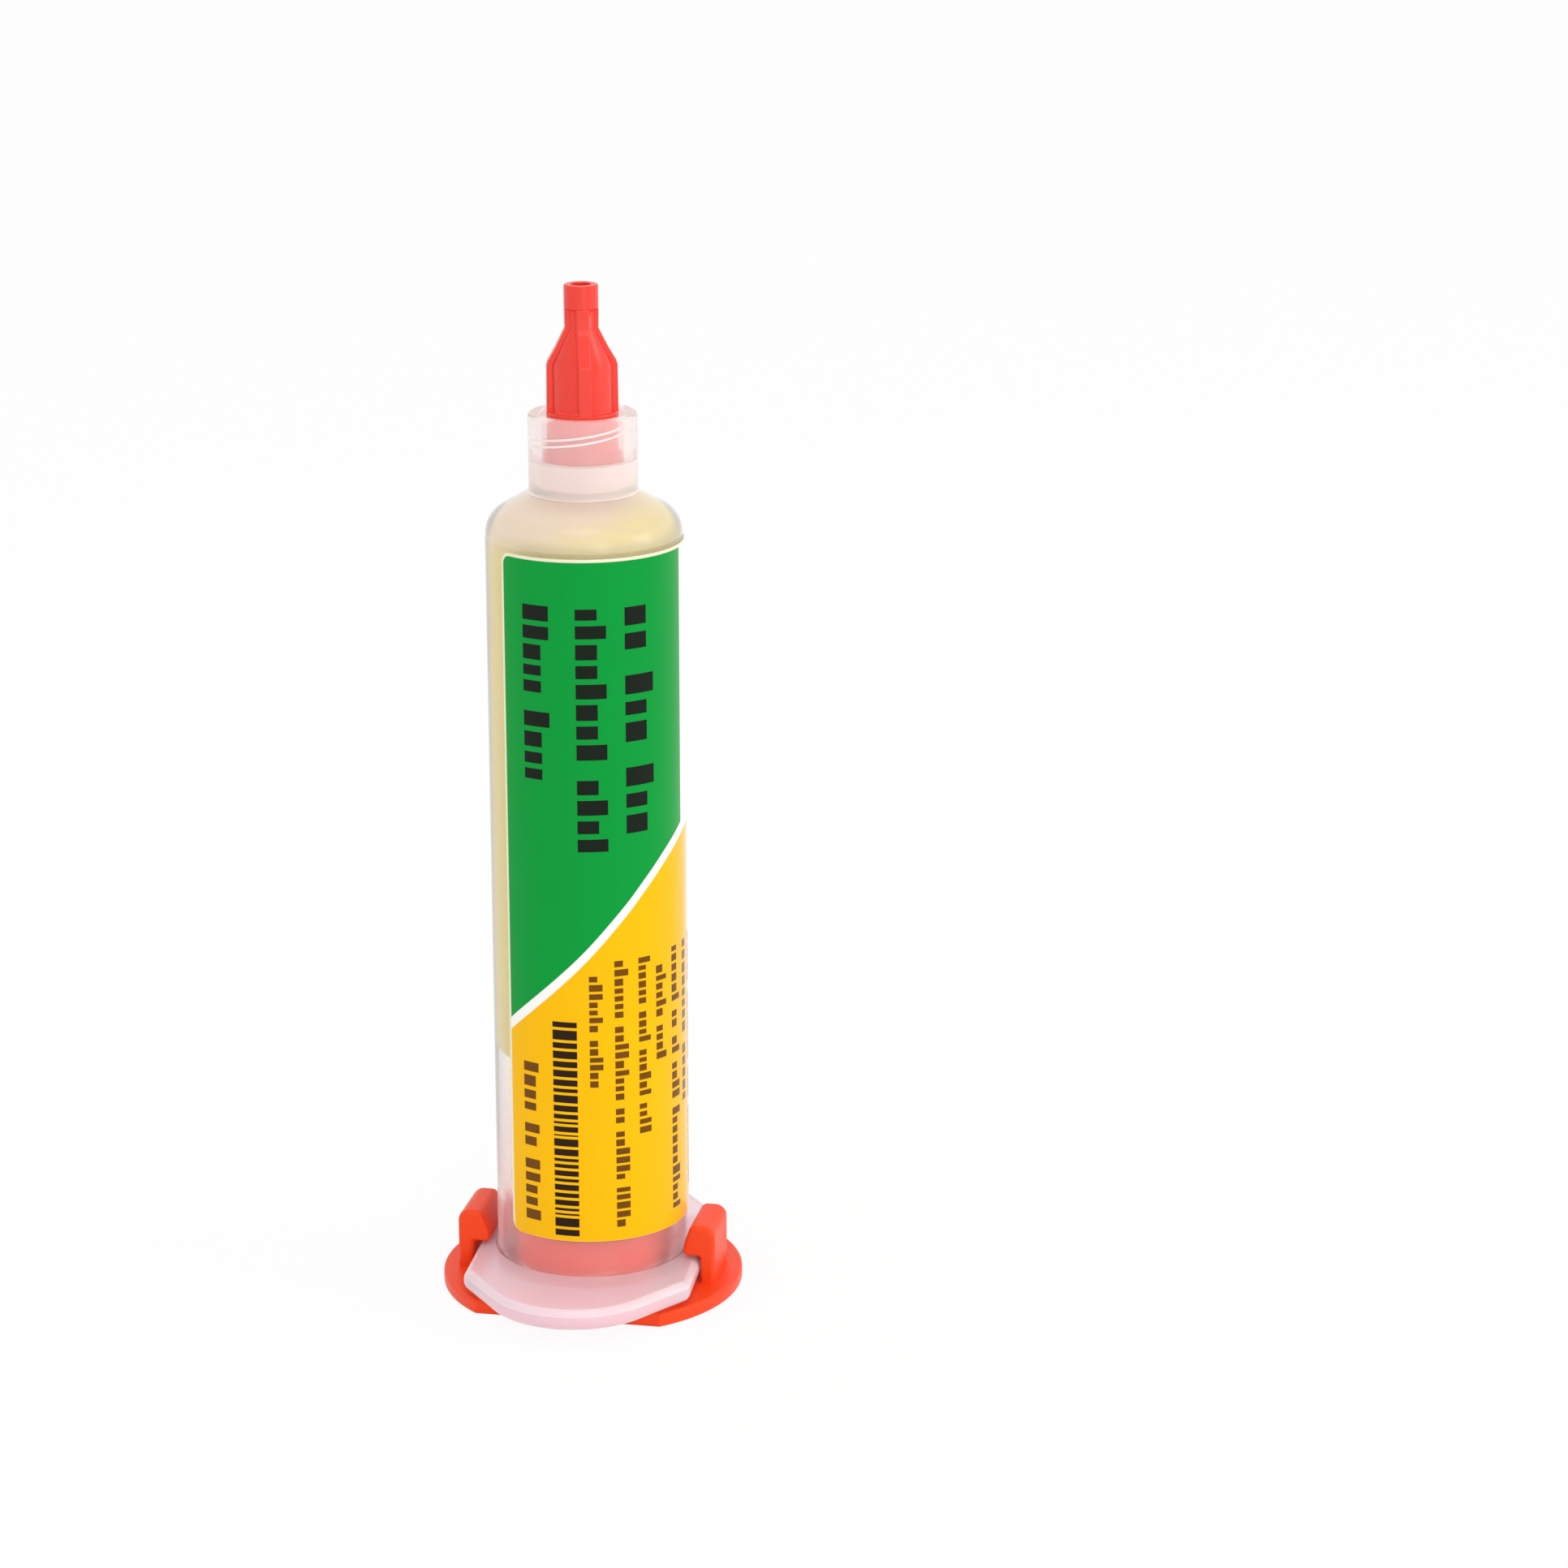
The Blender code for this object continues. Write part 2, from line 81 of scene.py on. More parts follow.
def leftTurning(line):
    # a closed line in the order that runs anticlockwise
    area = sum(a[0] * b[1] - b[0] * a[1] for a, b in zip(line, line[1:] + line[:1]))
    return line if area > 0 else line[::-1]


def spun(name, profile, steps):
    # a closed line of radius and height, spun about Z
    profile = [p for p, last in zip(profile, profile[-1:] + profile[:-1])
               if math.dist(p, last) > sameSpot]
    corners, rings = [], []
    for r, z in leftTurning(profile):
        count = steps if r > sameSpot else 1
        rings.append([len(corners) + i % count for i in range(steps + 1)])
        turns = [2 * math.pi * i / steps for i in range(count)]
        corners += [(r * math.cos(turn), r * math.sin(turn), z) for turn in turns]
    faces = []
    for low, high in zip(rings, rings[1:] + rings[:1]):
        strip = [dict.fromkeys((low[i], low[i + 1], high[i + 1], high[i])) for i in range(steps)]
        faces += [list(face) for face in strip if len(face) > 2]
    return solidFrom(name, corners, faces)


def plate(name, outline, bottom, thickness):
    # a flat outline pulled up to its thickness
    outline = leftTurning(outline)
    count = len(outline)
    corners = [(x, y, z) for z in (bottom, bottom + thickness) for x, y in outline]
    faces = [range(count)[::-1], range(count, 2 * count)]
    for i in range(count):
        after = (i + 1) % count
        faces.append((i, after, count + after, count + i))
    return solidFrom(name, corners, faces)


def roundEdges(obj, width, segments=4, angle=40):
    bevel = obj.modifiers.new("edges", "BEVEL")
    bevel.width = width
    bevel.segments = segments
    bevel.limit_method = "ANGLE"
    bevel.angle_limit = math.radians(angle)


def combine(obj, other, operation="UNION"):
    cut = obj.modifiers.new(other.name, "BOOLEAN")
    cut.operation = operation
    cut.solver = "EXACT"
    cut.object = other


def settle(obj):
    # modifiers become plain mesh
    bpy.context.view_layer.update()
    graph = bpy.context.evaluated_depsgraph_get()
    mesh = bpy.data.meshes.new_from_object(obj.evaluated_get(graph))
    helpers = [m.object for m in obj.modifiers if m.type == "BOOLEAN"]
    obj.modifiers.clear()
    obj.data = mesh
    for helper in helpers:
        bpy.data.objects.remove(helper)
    return obj


def joinMeshes(parts, name):
    # meshes with their places, in one mesh
    shape = bmesh.new()
    for obj, place in parts:
        obj.data.transform(Matrix.Translation(place))
        shape.from_mesh(obj.data)
        bpy.data.objects.remove(obj)
    return meshFrom(shape, name)


def clean(obj):
    # without the doubled corners and empty faces that cuts leave
    shape = bmesh.new()
    shape.from_mesh(obj.data)
    bmesh.ops.remove_doubles(shape, verts=shape.verts, dist=sameSpot)
    bmesh.ops.dissolve_degenerate(shape, dist=sameSpot, edges=shape.edges)
    shape.to_mesh(obj.data)
    shape.free()


def smooth(obj, angle=32):
    clean(obj)
    obj.data.shade_smooth()
    obj.data.set_sharp_from_angle(angle=math.radians(angle))
    evenOut = obj.modifiers.new("normals", "WEIGHTED_NORMAL")
    evenOut.keep_sharp = True
    evenOut.weight = 60
    settle(obj)


def makePiece(obj, name, body, material, replaced=None):
    # to metres, with its finish, on its body
    obj.name = name
    obj.data.name = name
    obj.data.transform(Matrix.Scale(mm, 4))
    obj.data.materials.clear()
    obj.data.materials.append(material)
    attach(obj, body)
    if replaced:
        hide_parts(replaced)
    return obj


# Node trees

def addNode(tree, kind, inputs=None, **settings):
    made = tree.nodes.new(kind)
    for key, value in settings.items():
        setattr(made, key, value)
    for key, value in (inputs or {}).items():
        if isinstance(value, bpy.types.NodeSocket):
            tree.links.new(value, made.inputs[key])
        else:
            made.inputs[key].default_value = value
    return made


def calc(tree, operation, *values):
    return addNode(tree, "ShaderNodeMath", dict(enumerate(values)), operation=operation).outputs[0]


def newGroup(name, kind, inputs, outputs):
    # inputs: name, kind and value; outputs: name and kind
    tree = bpy.data.node_groups.new(name, kind)
    for title, socket, *value in inputs:
        made = tree.interface.new_socket(title, in_out="INPUT", socket_type="NodeSocket" + socket)
        if value:
            made.default_value = value[0]
    for title, socket in outputs:
        tree.interface.new_socket(title, in_out="OUTPUT", socket_type="NodeSocket" + socket)
    return tree, tree.nodes.new("NodeGroupInput").outputs, tree.nodes.new("NodeGroupOutput").inputs


def newMeshTree(name, inputs):
    given = [("Geometry", "Geometry"), *inputs, ("Material", "Material")]
    return newGroup(name, "GeometryNodeTree", given, [("Geometry", "Geometry")])


def runTree(name, tree, values, start=None):
    # a tree with its named inputs set, turned into a plain mesh
    obj = addObject(name, start or bpy.data.meshes.new(name))
    modifier = obj.modifiers.new(name, "NODES")
    modifier.node_group = tree
    for item in tree.interface.items_tree:
        if item.in_out == "INPUT" and item.name in values:
            modifier[item.identifier] = values[item.name]
    return settle(obj)


def srgb(red, green, blue):
    # 0-255 as seen on a screen, to linear light
    parts = [c / 255 for c in (red, green, blue)]
    return tuple(c / 12.92 if c <= 0.04045 else ((c + 0.055) / 1.055) ** 2.4 for c in parts) + (1.0,)


def edgeMask(tree, distance, blur):
    # 1 where the distance is below zero, with a soft edge
    return addNode(tree, "ShaderNodeMapRange", {"Value": distance, "From Min": -blur, "From Max": blur,
                                                "To Min": 1.0, "To Max": 0.0}).outputs[0]


def mixColour(tree, share, first, second):
    return addNode(tree, "ShaderNodeMix", {0: share, 6: first, 7: second}, data_type="RGBA").outputs[2]


def tintColour(tree, colour, level):
    return addNode(tree, "ShaderNodeVectorMath", {0: colour, "Scale": level}, operation="SCALE").outputs[0]


def vectorCalc(tree, operation, *values):
    return addNode(tree, "ShaderNodeVectorMath", dict(enumerate(values)), operation=operation).outputs


def noise(tree, place, scale, detail, roughness=0.5):
    return addNode(tree, "ShaderNodeTexNoise", {"Vector": place, "Scale": scale, "Detail": detail,
                                                "Roughness": roughness}).outputs["Fac"]


def around(tree, value, amount):
    # a value about a half becomes a change about 0
    return calc(tree, "MULTIPLY", calc(tree, "SUBTRACT", value, 0.5), amount)


def endTree(tree, given, out, geometry):
    # the end of a tree for meshes: real geometry with its material
    real = addNode(tree, "GeometryNodeRealizeInstances", {"Geometry": geometry})
    done = addNode(tree, "GeometryNodeSetMaterial", {"Geometry": real.outputs[0],
                                                     "Material": given["Material"]})
    tree.links.new(done.outputs[0], out["Geometry"])
    return tree


# Finishes

def newFinish(name, inputs):
    given = [("Color", "Color", (0.8, 0.8, 0.8, 1.0)), *inputs]
    results = [("Color", "Color"), ("Roughness", "Float"), ("Height", "Float")]
    return newGroup(name, "ShaderNodeTree", given, results)


def endFinish(tree, given, out, change, sway, height):
    # the colour and the roughness with their changes, and the relief's height
    tree.links.new(tintColour(tree, given["Color"], calc(tree, "ADD", 1.0, change)), out["Color"])
    tree.links.new(calc(tree, "ADD", given["Roughness"], sway), out["Roughness"])
    tree.links.new(height, out["Height"])
    return tree


def makeMouldedFinish():
    # soft mottle and fine grain of a moulded surface, by place on the object
    tree, given, out = newFinish("moulded finish", [
        ("Mottle", "Float", 0.05), ("Mottle Size", "Float", 6.0), ("Grain Size", "Float", 0.12),
        ("Roughness", "Float", 0.4), ("Roughness Change", "Float", 0.08)])
    place = addNode(tree, "ShaderNodeTexCoord").outputs["Object"]
    wide = noise(tree, place, calc(tree, "DIVIDE", 1000.0, given["Mottle Size"]), 3.0, 0.55)
    fine = noise(tree, place, calc(tree, "DIVIDE", 1000.0, given["Grain Size"]), 2.0, 0.6)
    return endFinish(tree, given, out, around(tree, wide, given["Mottle"]),
                     around(tree, wide, given["Roughness Change"]), fine)


def newMaterial(name):
    material = bpy.data.materials.new(name)
    material.use_nodes = True
    tree = material.node_tree
    return material, tree, tree.nodes["Principled BSDF"]


def addFinish(tree, shader, finish, values, look, depth=0.0001):
    # a finish group on the shader, with the look's relief and the shader's own sockets
    group = addNode(tree, "ShaderNodeGroup", values, node_tree=finish)
    relief = addNode(tree, "ShaderNodeBump", {"Strength": look["bump"], "Distance": depth,
                                              "Height": group.outputs["Height"]})
    tree.links.new(group.outputs["Color"], shader.inputs["Base Color"])
    tree.links.new(group.outputs["Roughness"], shader.inputs["Roughness"])
    tree.links.new(relief.outputs[0], shader.inputs["Normal"])
    for key, value in look["sockets"].items():
        shader.inputs[key].default_value = value
    return group


def mouldedPlastic(name, colour, look):
    material, tree, shader = newMaterial(name)
    values = {"Color": colour, **look["finish"]}
    return material, tree, addFinish(tree, shader, mouldedFinish, values, look)


mouldedFinish = makeMouldedFinish()


# Camera, floor and light

view = {
    "place": (0.07789, -0.42844, 0.18117),
    "heading": -7.674,       # degrees from +Y, towards +X
    "pitch": 16.326,         # degrees down
    "focal": 5501.0,         # in pixels of the photograph
    "pixels": 1932,
    "sensor": 36.0,
}

light = {
    "skyLevel": 0.86,        # on the object; the backdrop is seen at 1
    "skyColour": (1.0, 0.99, 0.985, 1.0),
    "floorRadius": 4.0, "floorColour": (0.93, 0.93, 0.93, 1.0), "floorRoughness": 0.9,
    "floorShow": 0.9,        # share of the floor that is plain white to the camera
    "lamps": [               # name, place, aim, width, height, brightness
        ("front lamp", (0.6, -1.05, 0.3), (0.0, 0.0, 0.05), 0.3, 0.6, 4.0),
        ("top lamp", (0.05, -0.3, 1.05), (0.0, 0.0, 0.0), 0.4, 0.4, 3.0),
        ("right lamp", (1.0, -0.05, 0.35), (0.0, 0.0, 0.05), 0.35, 0.6, 3.2),
    ],
}


def makeCamera():
    heading, pitch = math.radians(view["heading"]), math.radians(view["pitch"])
    ahead = Vector((math.sin(heading) * math.cos(pitch), math.cos(heading) * math.cos(pitch),
                    -math.sin(pitch)))
    lens = bpy.data.cameras.new("camera")
    lens.sensor_width = view["sensor"]
    lens.lens = view["sensor"] * view["focal"] / view["pixels"]
    lens.clip_start = 0.01
    camera = addObject("camera", lens)
    camera.location = view["place"]
    camera.rotation_euler = ahead.to_track_quat("-Z", "Y").to_euler()
    scene.camera = camera


def makeBackdropMask(tree):
    # rays that should meet the plain white backdrop
    path = addNode(tree, "ShaderNodeLightPath").outputs
    seen = calc(tree, "MAXIMUM", path["Is Camera Ray"], path["Is Glossy Ray"])
    return calc(tree, "MAXIMUM", seen, path["Is Transmission Ray"])


def makeWorld():
    world = bpy.data.worlds.new("studio")
    scene.world = world
    world.use_nodes = True
    tree = world.node_tree
    tree.nodes.clear()
    sky = addNode(tree, "ShaderNodeBackground", {"Color": light["skyColour"],
                                                 "Strength": light["skyLevel"]})
    backdrop = addNode(tree, "ShaderNodeBackground", {"Color": (1.0, 1.0, 1.0, 1.0), "Strength": 1.0})
    mix = addNode(tree, "ShaderNodeMixShader", {0: makeBackdropMask(tree), 1: sky.outputs[0],
                                                2: backdrop.outputs[0]})
    addNode(tree, "ShaderNodeOutputWorld", {"Surface": mix.outputs[0]})


def makeFloor():
    shape = bmesh.new()
    bmesh.ops.create_circle(shape, cap_ends=True, segments=96, radius=light["floorRadius"])
    floor = addObject("floor", meshFrom(shape, "floor"))
    material, tree, shader = newMaterial("pale floor")
    shader.inputs["Base Color"].default_value = light["floorColour"]
    shader.inputs["Roughness"].default_value = light["floorRoughness"]
    shader.inputs["Specular IOR Level"].default_value = 0.0
    glow = addNode(tree, "ShaderNodeEmission", {"Color": (1.0, 1.0, 1.0, 1.0), "Strength": 1.0})
    share = calc(tree, "MULTIPLY", makeBackdropMask(tree), light["floorShow"])
    mix = addNode(tree, "ShaderNodeMixShader", {0: share, 1: shader.outputs[0], 2: glow.outputs[0]})
    tree.links.new(mix.outputs[0], tree.nodes["Material Output"].inputs["Surface"])
    floor.data.materials.append(material)


def makeLamps():
    for name, place, aim, width, height, brightness in light["lamps"]:
        lamp = bpy.data.lights.new(name, "AREA")
        lamp.shape = "RECTANGLE"
        lamp.size = width
        lamp.size_y = height
        lamp.energy = math.pi * width * height * brightness
        holder = addObject(name, lamp)
        holder.location = place
        holder.visible_camera = False
        holder.rotation_euler = (Vector(aim) - Vector(place)).to_track_quat("-Z", "Y").to_euler()


makeCamera()
makeWorld()
makeFloor()
makeLamps()
scene.view_settings.view_transform = "Standard"
scene.cycles.blur_glossy = 0.0       # or the milky walls lose light
print("stage: camera, floor and light")


# Barrel

barrel = {
    "steps": 192,
    "radius": 9.88, "bore": 8.0, "boreChamfer": 0.35,
    "flangeBottom": 1.8, "flangeTop": 4.1, "flangeFlat": 11.8, "flangeSide": 9.6,
    "flangeCorner": 1.2, "flangeEdge": 1.0, "flangeFillet": 0.5,
    "filletDip": 0.05,       # how far the fillet dips into the flange
    "holeSpan": (-2.0, 8.0),     # cut through the flange
    "gripReach": 19.4, "gripRadius": 9.6,
    "shoulderRadius": 3.0, "shoulderSlope": 29.5, "shoulderStart": 79.994,
    "collarRadius": 5.45, "collarBore": 4.15, "collarRoot": 84.25, "collarFloor": 84.8,
    "collarRim": 92.2, "collarEdge": 0.3, "collarFillet": 0.45,
    "collarHollow": 0.25,    # fillet of the collar's floor
    "nozzleRadius": 1.97, "nozzleRoot": 2.255, "nozzleBore": 0.9, "nozzleTop": 94.3,
    "nozzleEdge": 0.15, "nozzleFoot": 0.2,
    "rootTop": 87.6,         # the collar is thickest below this
    "flangeAbove": 0.05, "flangeBeyond": 0.6,    # where the thick plastic ends, from its top and the tube
    "edgeSlopes": (0.25, 0.97),                  # of the flange's rounded edge
    "paintedCapGlow": srgb(255, 224, 218), "paintedGlowMiddle": 15.0, "paintedGlowBlur": 10.0,   # painted red glow: the foot is tinted pink as if lit by the red end cap
    "finish": {"Mottle": 0.03, "Mottle Size": 9.0, "Roughness Change": 0.1},
    "bump": 0.04,
    "sockets": {"IOR": 1.2, "Coat Weight": 0.5, "Coat Roughness": 0.22, "Sheen Roughness": 0.3},
    "plastics": {            # name, colour, how clear, roughness, sheen; the slots follow this order
        "wall": ("barrel plastic", srgb(255, 250, 247), 0.86, 0.2, 0.4),
        # the flange's pink colour is painted red glow from the end cap under it; its lower clarity is its
        # thickness
        "flange": ("thick barrel plastic", srgb(255, 237, 248), 0.53, 0.22, 0.4),
        # painted highlight: the flange's rounded top edge is paler and less clear
        "edge": ("flange edge painted highlight", srgb(255, 244, 249), 0.42, 0.2, 0.4),
        "shoulder": ("shoulder plastic", srgb(255, 247, 238), 0.73, 0.22, 0.9),
        "root": ("collar root plastic", srgb(255, 241, 237), 0.46, 0.24, 0.4),
        "collar": ("collar plastic", srgb(255, 247, 246), 0.78, 0.15, 0.4),
        "thread": ("thread plastic", srgb(255, 250, 250), 0.1, 0.2, 0.4),
    },
}


def shoulderLine(offset, steps=14):
    lift = math.pi / 2 - math.radians(barrel["shoulderSlope"])
    centre = (barrel["radius"] - barrel["shoulderRadius"], barrel["shoulderStart"])
    return arc(centre, barrel["shoulderRadius"] - offset, lift, 0.0, steps)


def slopeHeight(radius, offset):
    tangentR, tangentZ = shoulderLine(offset)[0]
    return tangentZ + (tangentR - radius) * math.tan(math.radians(barrel["shoulderSlope"]))


def barrelProfile():
    # from the nozzle's mouth down its outside, up the collar, down the body and up the bore
    b = barrel
    edge, half = b["collarEdge"], math.pi / 2
    slope = math.radians(b["shoulderSlope"])
    fillet = b["collarFillet"]
    rootZ = b["collarRoot"] + fillet * math.tan((half - slope) / 2)
    profile = [(b["nozzleBore"], b["nozzleTop"])]
    mouth, foot, hollow = b["nozzleEdge"], b["nozzleFoot"], b["collarHollow"]
    profile += arc((b["nozzleRadius"] - mouth, b["nozzleTop"] - mouth), mouth, half, 0.0, 4)
    profile += [(b["nozzleRoot"], b["collarFloor"] + foot), (b["nozzleRoot"] + foot, b["collarFloor"])]
    profile += arc((b["collarBore"] - hollow, b["collarFloor"] + hollow), hollow, -half, 0.0, 4)
    profile.append((b["collarBore"], b["rootTop"]))
    profile += arc((b["collarBore"] + edge, b["collarRim"] - edge), edge, math.pi, half, 5)
    profile += arc((b["collarRadius"] - edge, b["collarRim"] - edge), edge, half, 0.0, 5)
    profile.append((b["collarRadius"], b["rootTop"]))
    profile += arc((b["collarRadius"] + fillet, rootZ), fillet, math.pi, 1.5 * math.pi - slope, 5)
    profile += shoulderLine(0.0)
    turn = (b["radius"] + b["flangeFillet"], b["flangeTop"] + b["flangeFillet"] - b["filletDip"])
    profile += arc(turn, b["flangeFillet"], math.pi, 1.5 * math.pi, 6)
    profile += [
        (b["radius"] + b["flangeFillet"], b["flangeBottom"]),
        (b["bore"] + b["boreChamfer"], b["flangeBottom"]),
        (b["bore"], b["flangeBottom"] + b["boreChamfer"]),
    ]
    wall = b["radius"] - b["bore"]
    profile += reversed(shoulderLine(wall))
    profile.append((b["nozzleBore"], slopeHeight(b["nozzleBore"], wall)))
    return profile


def flangeOutline():
    # two flat sides, then straight tapers from rounded corners to a round finger grip at each end
    b = barrel
    cornerX = b["flangeFlat"] - b["flangeCorner"]
    gripCentre = b["gripReach"] - b["gripRadius"]
    rise = gripCentre - b["flangeSide"]
    away = math.hypot(cornerX, rise)
    taper = math.atan2(rise, -cornerX) - math.acos((b["flangeCorner"] - b["gripRadius"]) / away)
    half = arc((cornerX, b["flangeSide"]), b["flangeCorner"], 0.0, taper, 8)
    half += arc((0.0, gripCentre), b["gripRadius"], taper, math.pi - taper, 60)
    half += arc((-cornerX, b["flangeSide"]), b["flangeCorner"], math.pi - taper, math.pi, 8)
    return half + [(-x, -y) for x, y in half]


def milkyPlastic(zone):
    # one moulding, more or less clear by the thickness of its wall; the wall also gets a painted red glow
    # at its foot
    b = barrel
    name, colour, clear, roughness, sheen = b["plastics"][zone]
    material, tree, group = mouldedPlastic(name, colour, {
        "finish": {**b["finish"], "Roughness": roughness}, "bump": b["bump"],
        "sockets": {**b["sockets"], "Transmission Weight": clear, "Sheen Weight": sheen}})
    if zone == "wall":
        # painted red glow from the end cap: pink at the foot, fading out up the wall
        place = addNode(tree, "ShaderNodeTexCoord").outputs["Object"]
        level = calc(tree, "DIVIDE", addNode(tree, "ShaderNodeSeparateXYZ", {0: place}).outputs["Z"], mm)
        low = edgeMask(tree, calc(tree, "SUBTRACT", level, b["paintedGlowMiddle"]), b["paintedGlowBlur"])
        tree.links.new(mixColour(tree, low, colour, b["paintedCapGlow"]), group.inputs["Color"])
    return material


def zoneOf(face, mesh):
    # which plastic a face has, by its height, reach and slope
    b = barrel
    corners = [mesh.vertices[v].co for v in face.vertices]
    reach = max(math.hypot(c.x, c.y) for c in corners) / mm
    height = face.center.z / mm
    for zone, bottom in (("collar", "rootTop"), ("root", "collarRoot"), ("shoulder", "shoulderStart")):
        if height > b[bottom]:
            return zone
    if height > b["flangeTop"] + b["flangeAbove"] or reach < b["radius"] + b["flangeBeyond"]:
        return "wall"
    low, high = b["edgeSlopes"]
    # the rounded top edge facing up and out gets the painted highlight
    rounded = height > b["flangeTop"] - b["flangeEdge"] and low < face.normal.z < high
    return "edge" if rounded else "flange"


def makeBarrel():
    b = barrel
    body = spun("barrel_shell", barrelProfile(), b["steps"])
    flange = plate("flange", flangeOutline(), b["flangeBottom"], b["flangeTop"] - b["flangeBottom"])
    roundEdges(flange, b["flangeEdge"], 5)
    middle = (b["bore"] + b["boreChamfer"] + b["radius"]) / 2
    low, high = b["holeSpan"]
    hole = spun("hole", [(0, low), (middle, low), (middle, high), (0, high)], b["steps"])
    combine(flange, hole, "DIFFERENCE")
    settle(flange)
    combine(body, flange)
    settle(body)
    smooth(body)
    zones = [zone for zone in b["plastics"] if zone != "thread"]
    plastics = [milkyPlastic(zone) for zone in zones]
    body = makePiece(body, "barrel_shell", "barrel", plastics[0], "barrel")
    for plastic in plastics[1:]:
        body.data.materials.append(plastic)
    for face in body.data.polygons:
        face.material_index = zones.index(zoneOf(face, body.data))


makeBarrel()
print("stage: barrel")


# Thread inside the collar

thread = {
    "starts": 1,
    "lead": 3.8,             # rise in one turn
    "bottom": 87.9, "top": 91.0,
    "outer": 4.2, "inner": 3.98, "width": 0.26, "apart": 0.64,      # the ridge's two edges
    "azimuth": 6.5, "level": 89.1,       # a place that the ridge's middle passes
    "smooth": 50,
}


def makeThreadTree():
    tree, given, out = newMeshTree("collar thread", [
        ("Radius", "Float", 4.1), ("Turns", "Float", 1.0), ("Rise", "Float", 5.0), ("Top", "Float", 90.0),
        ("Start Angle", "Float", 0.0), ("Starts", "Int", 2), ("Depth", "Float", 0.2),
        ("Width", "Float", 0.6)])
    helix = addNode(tree, "GeometryNodeCurveSpiral", {
        "Resolution": 64, "Rotations": given["Turns"], "Start Radius": given["Radius"],
        "End Radius": given["Radius"], "Height": calc(tree, "MULTIPLY", given["Rise"], -1.0)})
    starts = addNode(tree, "GeometryNodeMeshLine", {"Count": given["Starts"], "Offset": (0.0, 0.0, 0.0)})
    turn = calc(tree, "MULTIPLY", addNode(tree, "GeometryNodeInputIndex").outputs[0],
                calc(tree, "DIVIDE", 2 * math.pi, given["Starts"]))
    spin = addNode(tree, "ShaderNodeCombineXYZ", {"Z": calc(tree, "ADD", turn, given["Start Angle"])})
    base = addNode(tree, "ShaderNodeCombineXYZ", {"Z": given["Top"]})
    middle = addNode(tree, "GeometryNodeSetPosition", {"Geometry": starts.outputs[0],
                                                       "Position": base.outputs[0]})
    copies = addNode(tree, "GeometryNodeInstanceOnPoints", {
        "Points": middle.outputs[0], "Instance": helix.outputs[0], "Rotation": spin.outputs[0]})
    lines = addNode(tree, "GeometryNodeRealizeInstances", {"Geometry": copies.outputs[0]})
    section = addNode(tree, "GeometryNodeCurvePrimitiveCircle", {"Resolution": 10, "Radius": 0.5})
    flat = addNode(tree, "ShaderNodeCombineXYZ", {"X": given["Depth"], "Y": given["Width"], "Z": 1.0})
    bar = addNode(tree, "GeometryNodeTransform", {"Geometry": section.outputs[0], "Scale": flat.outputs[0]})
    swept = addNode(tree, "GeometryNodeCurveToMesh", {
        "Curve": lines.outputs[0], "Profile Curve": bar.outputs[0], "Fill Caps": True})
    return endTree(tree, given, out, swept.outputs[0])


def makeThread():
    t = thread
    height = t["top"] - t["bottom"]
    passing = math.radians(t["azimuth"] - 90)      # its angle from +X
    plastic = milkyPlastic("thread")
    tree = makeThreadTree()
    edges = []
    for shift in (0.5, -0.5):
        level = t["level"] + shift * t["apart"]
        start = passing - math.pi / 2 + (t["top"] - level) / t["lead"] * 2 * math.pi
        edges.append(runTree("thread edge", tree, {
            "Radius": (t["outer"] + t["inner"]) / 2, "Turns": height / t["lead"], "Rise": height,
            "Top": t["top"], "Start Angle": start, "Starts": t["starts"],
            "Depth": t["outer"] - t["inner"], "Width": t["width"], "Material": plastic}))
    ridge = addObject("collar_thread", joinMeshes([(edge, (0, 0, 0)) for edge in edges], "collar_thread"))
    smooth(ridge, t["smooth"])
    makePiece(ridge, "collar_thread", "barrel", plastic)


makeThread()
print("stage: collar thread")


# Paste

paste = {
    "steps": 160,
    "radius": 8.02,          # it wets the bore
    "top": 79.994, "bottom": 25.494, "travel": 53.0,
    "noseRadius": 0.86,
    "paleLevel": 81.0, "paleSlant": 0.24, "paleBlur": 1.1,       # it is paler above a slanting line
    "waveScale": 260.0, "wave": 1.6,     # of that line
    "colour": srgb(228, 212, 118), "pale": srgb(230, 211, 186),
    "finish": {"Mottle": 0.12, "Mottle Size": 11.0, "Grain Size": 0.6, "Roughness": 0.45,
               "Roughness Change": 0.15},
    "bump": 0.02, "sockets": {"IOR": 1.3},
}


def pasteColour(tree):
    # yellow, and creamy under the shoulder where a little air is left at the wall
    p = paste
    place = addNode(tree, "ShaderNodeTexCoord").outputs["Object"]
    wave = noise(tree, place, p["waveScale"], 2.0)
    at = addNode(tree, "ShaderNodeSeparateXYZ", {0: place}).outputs
    line = calc(tree, "ADD", p["paleLevel"], calc(tree, "MULTIPLY", at["X"], p["paleSlant"] / mm))
    line = calc(tree, "ADD", line, around(tree, wave, p["wave"]))
    above = calc(tree, "SUBTRACT", line, calc(tree, "DIVIDE", at["Z"], mm))
    return mixColour(tree, edgeMask(tree, above, p["paleBlur"]), p["colour"], p["pale"])


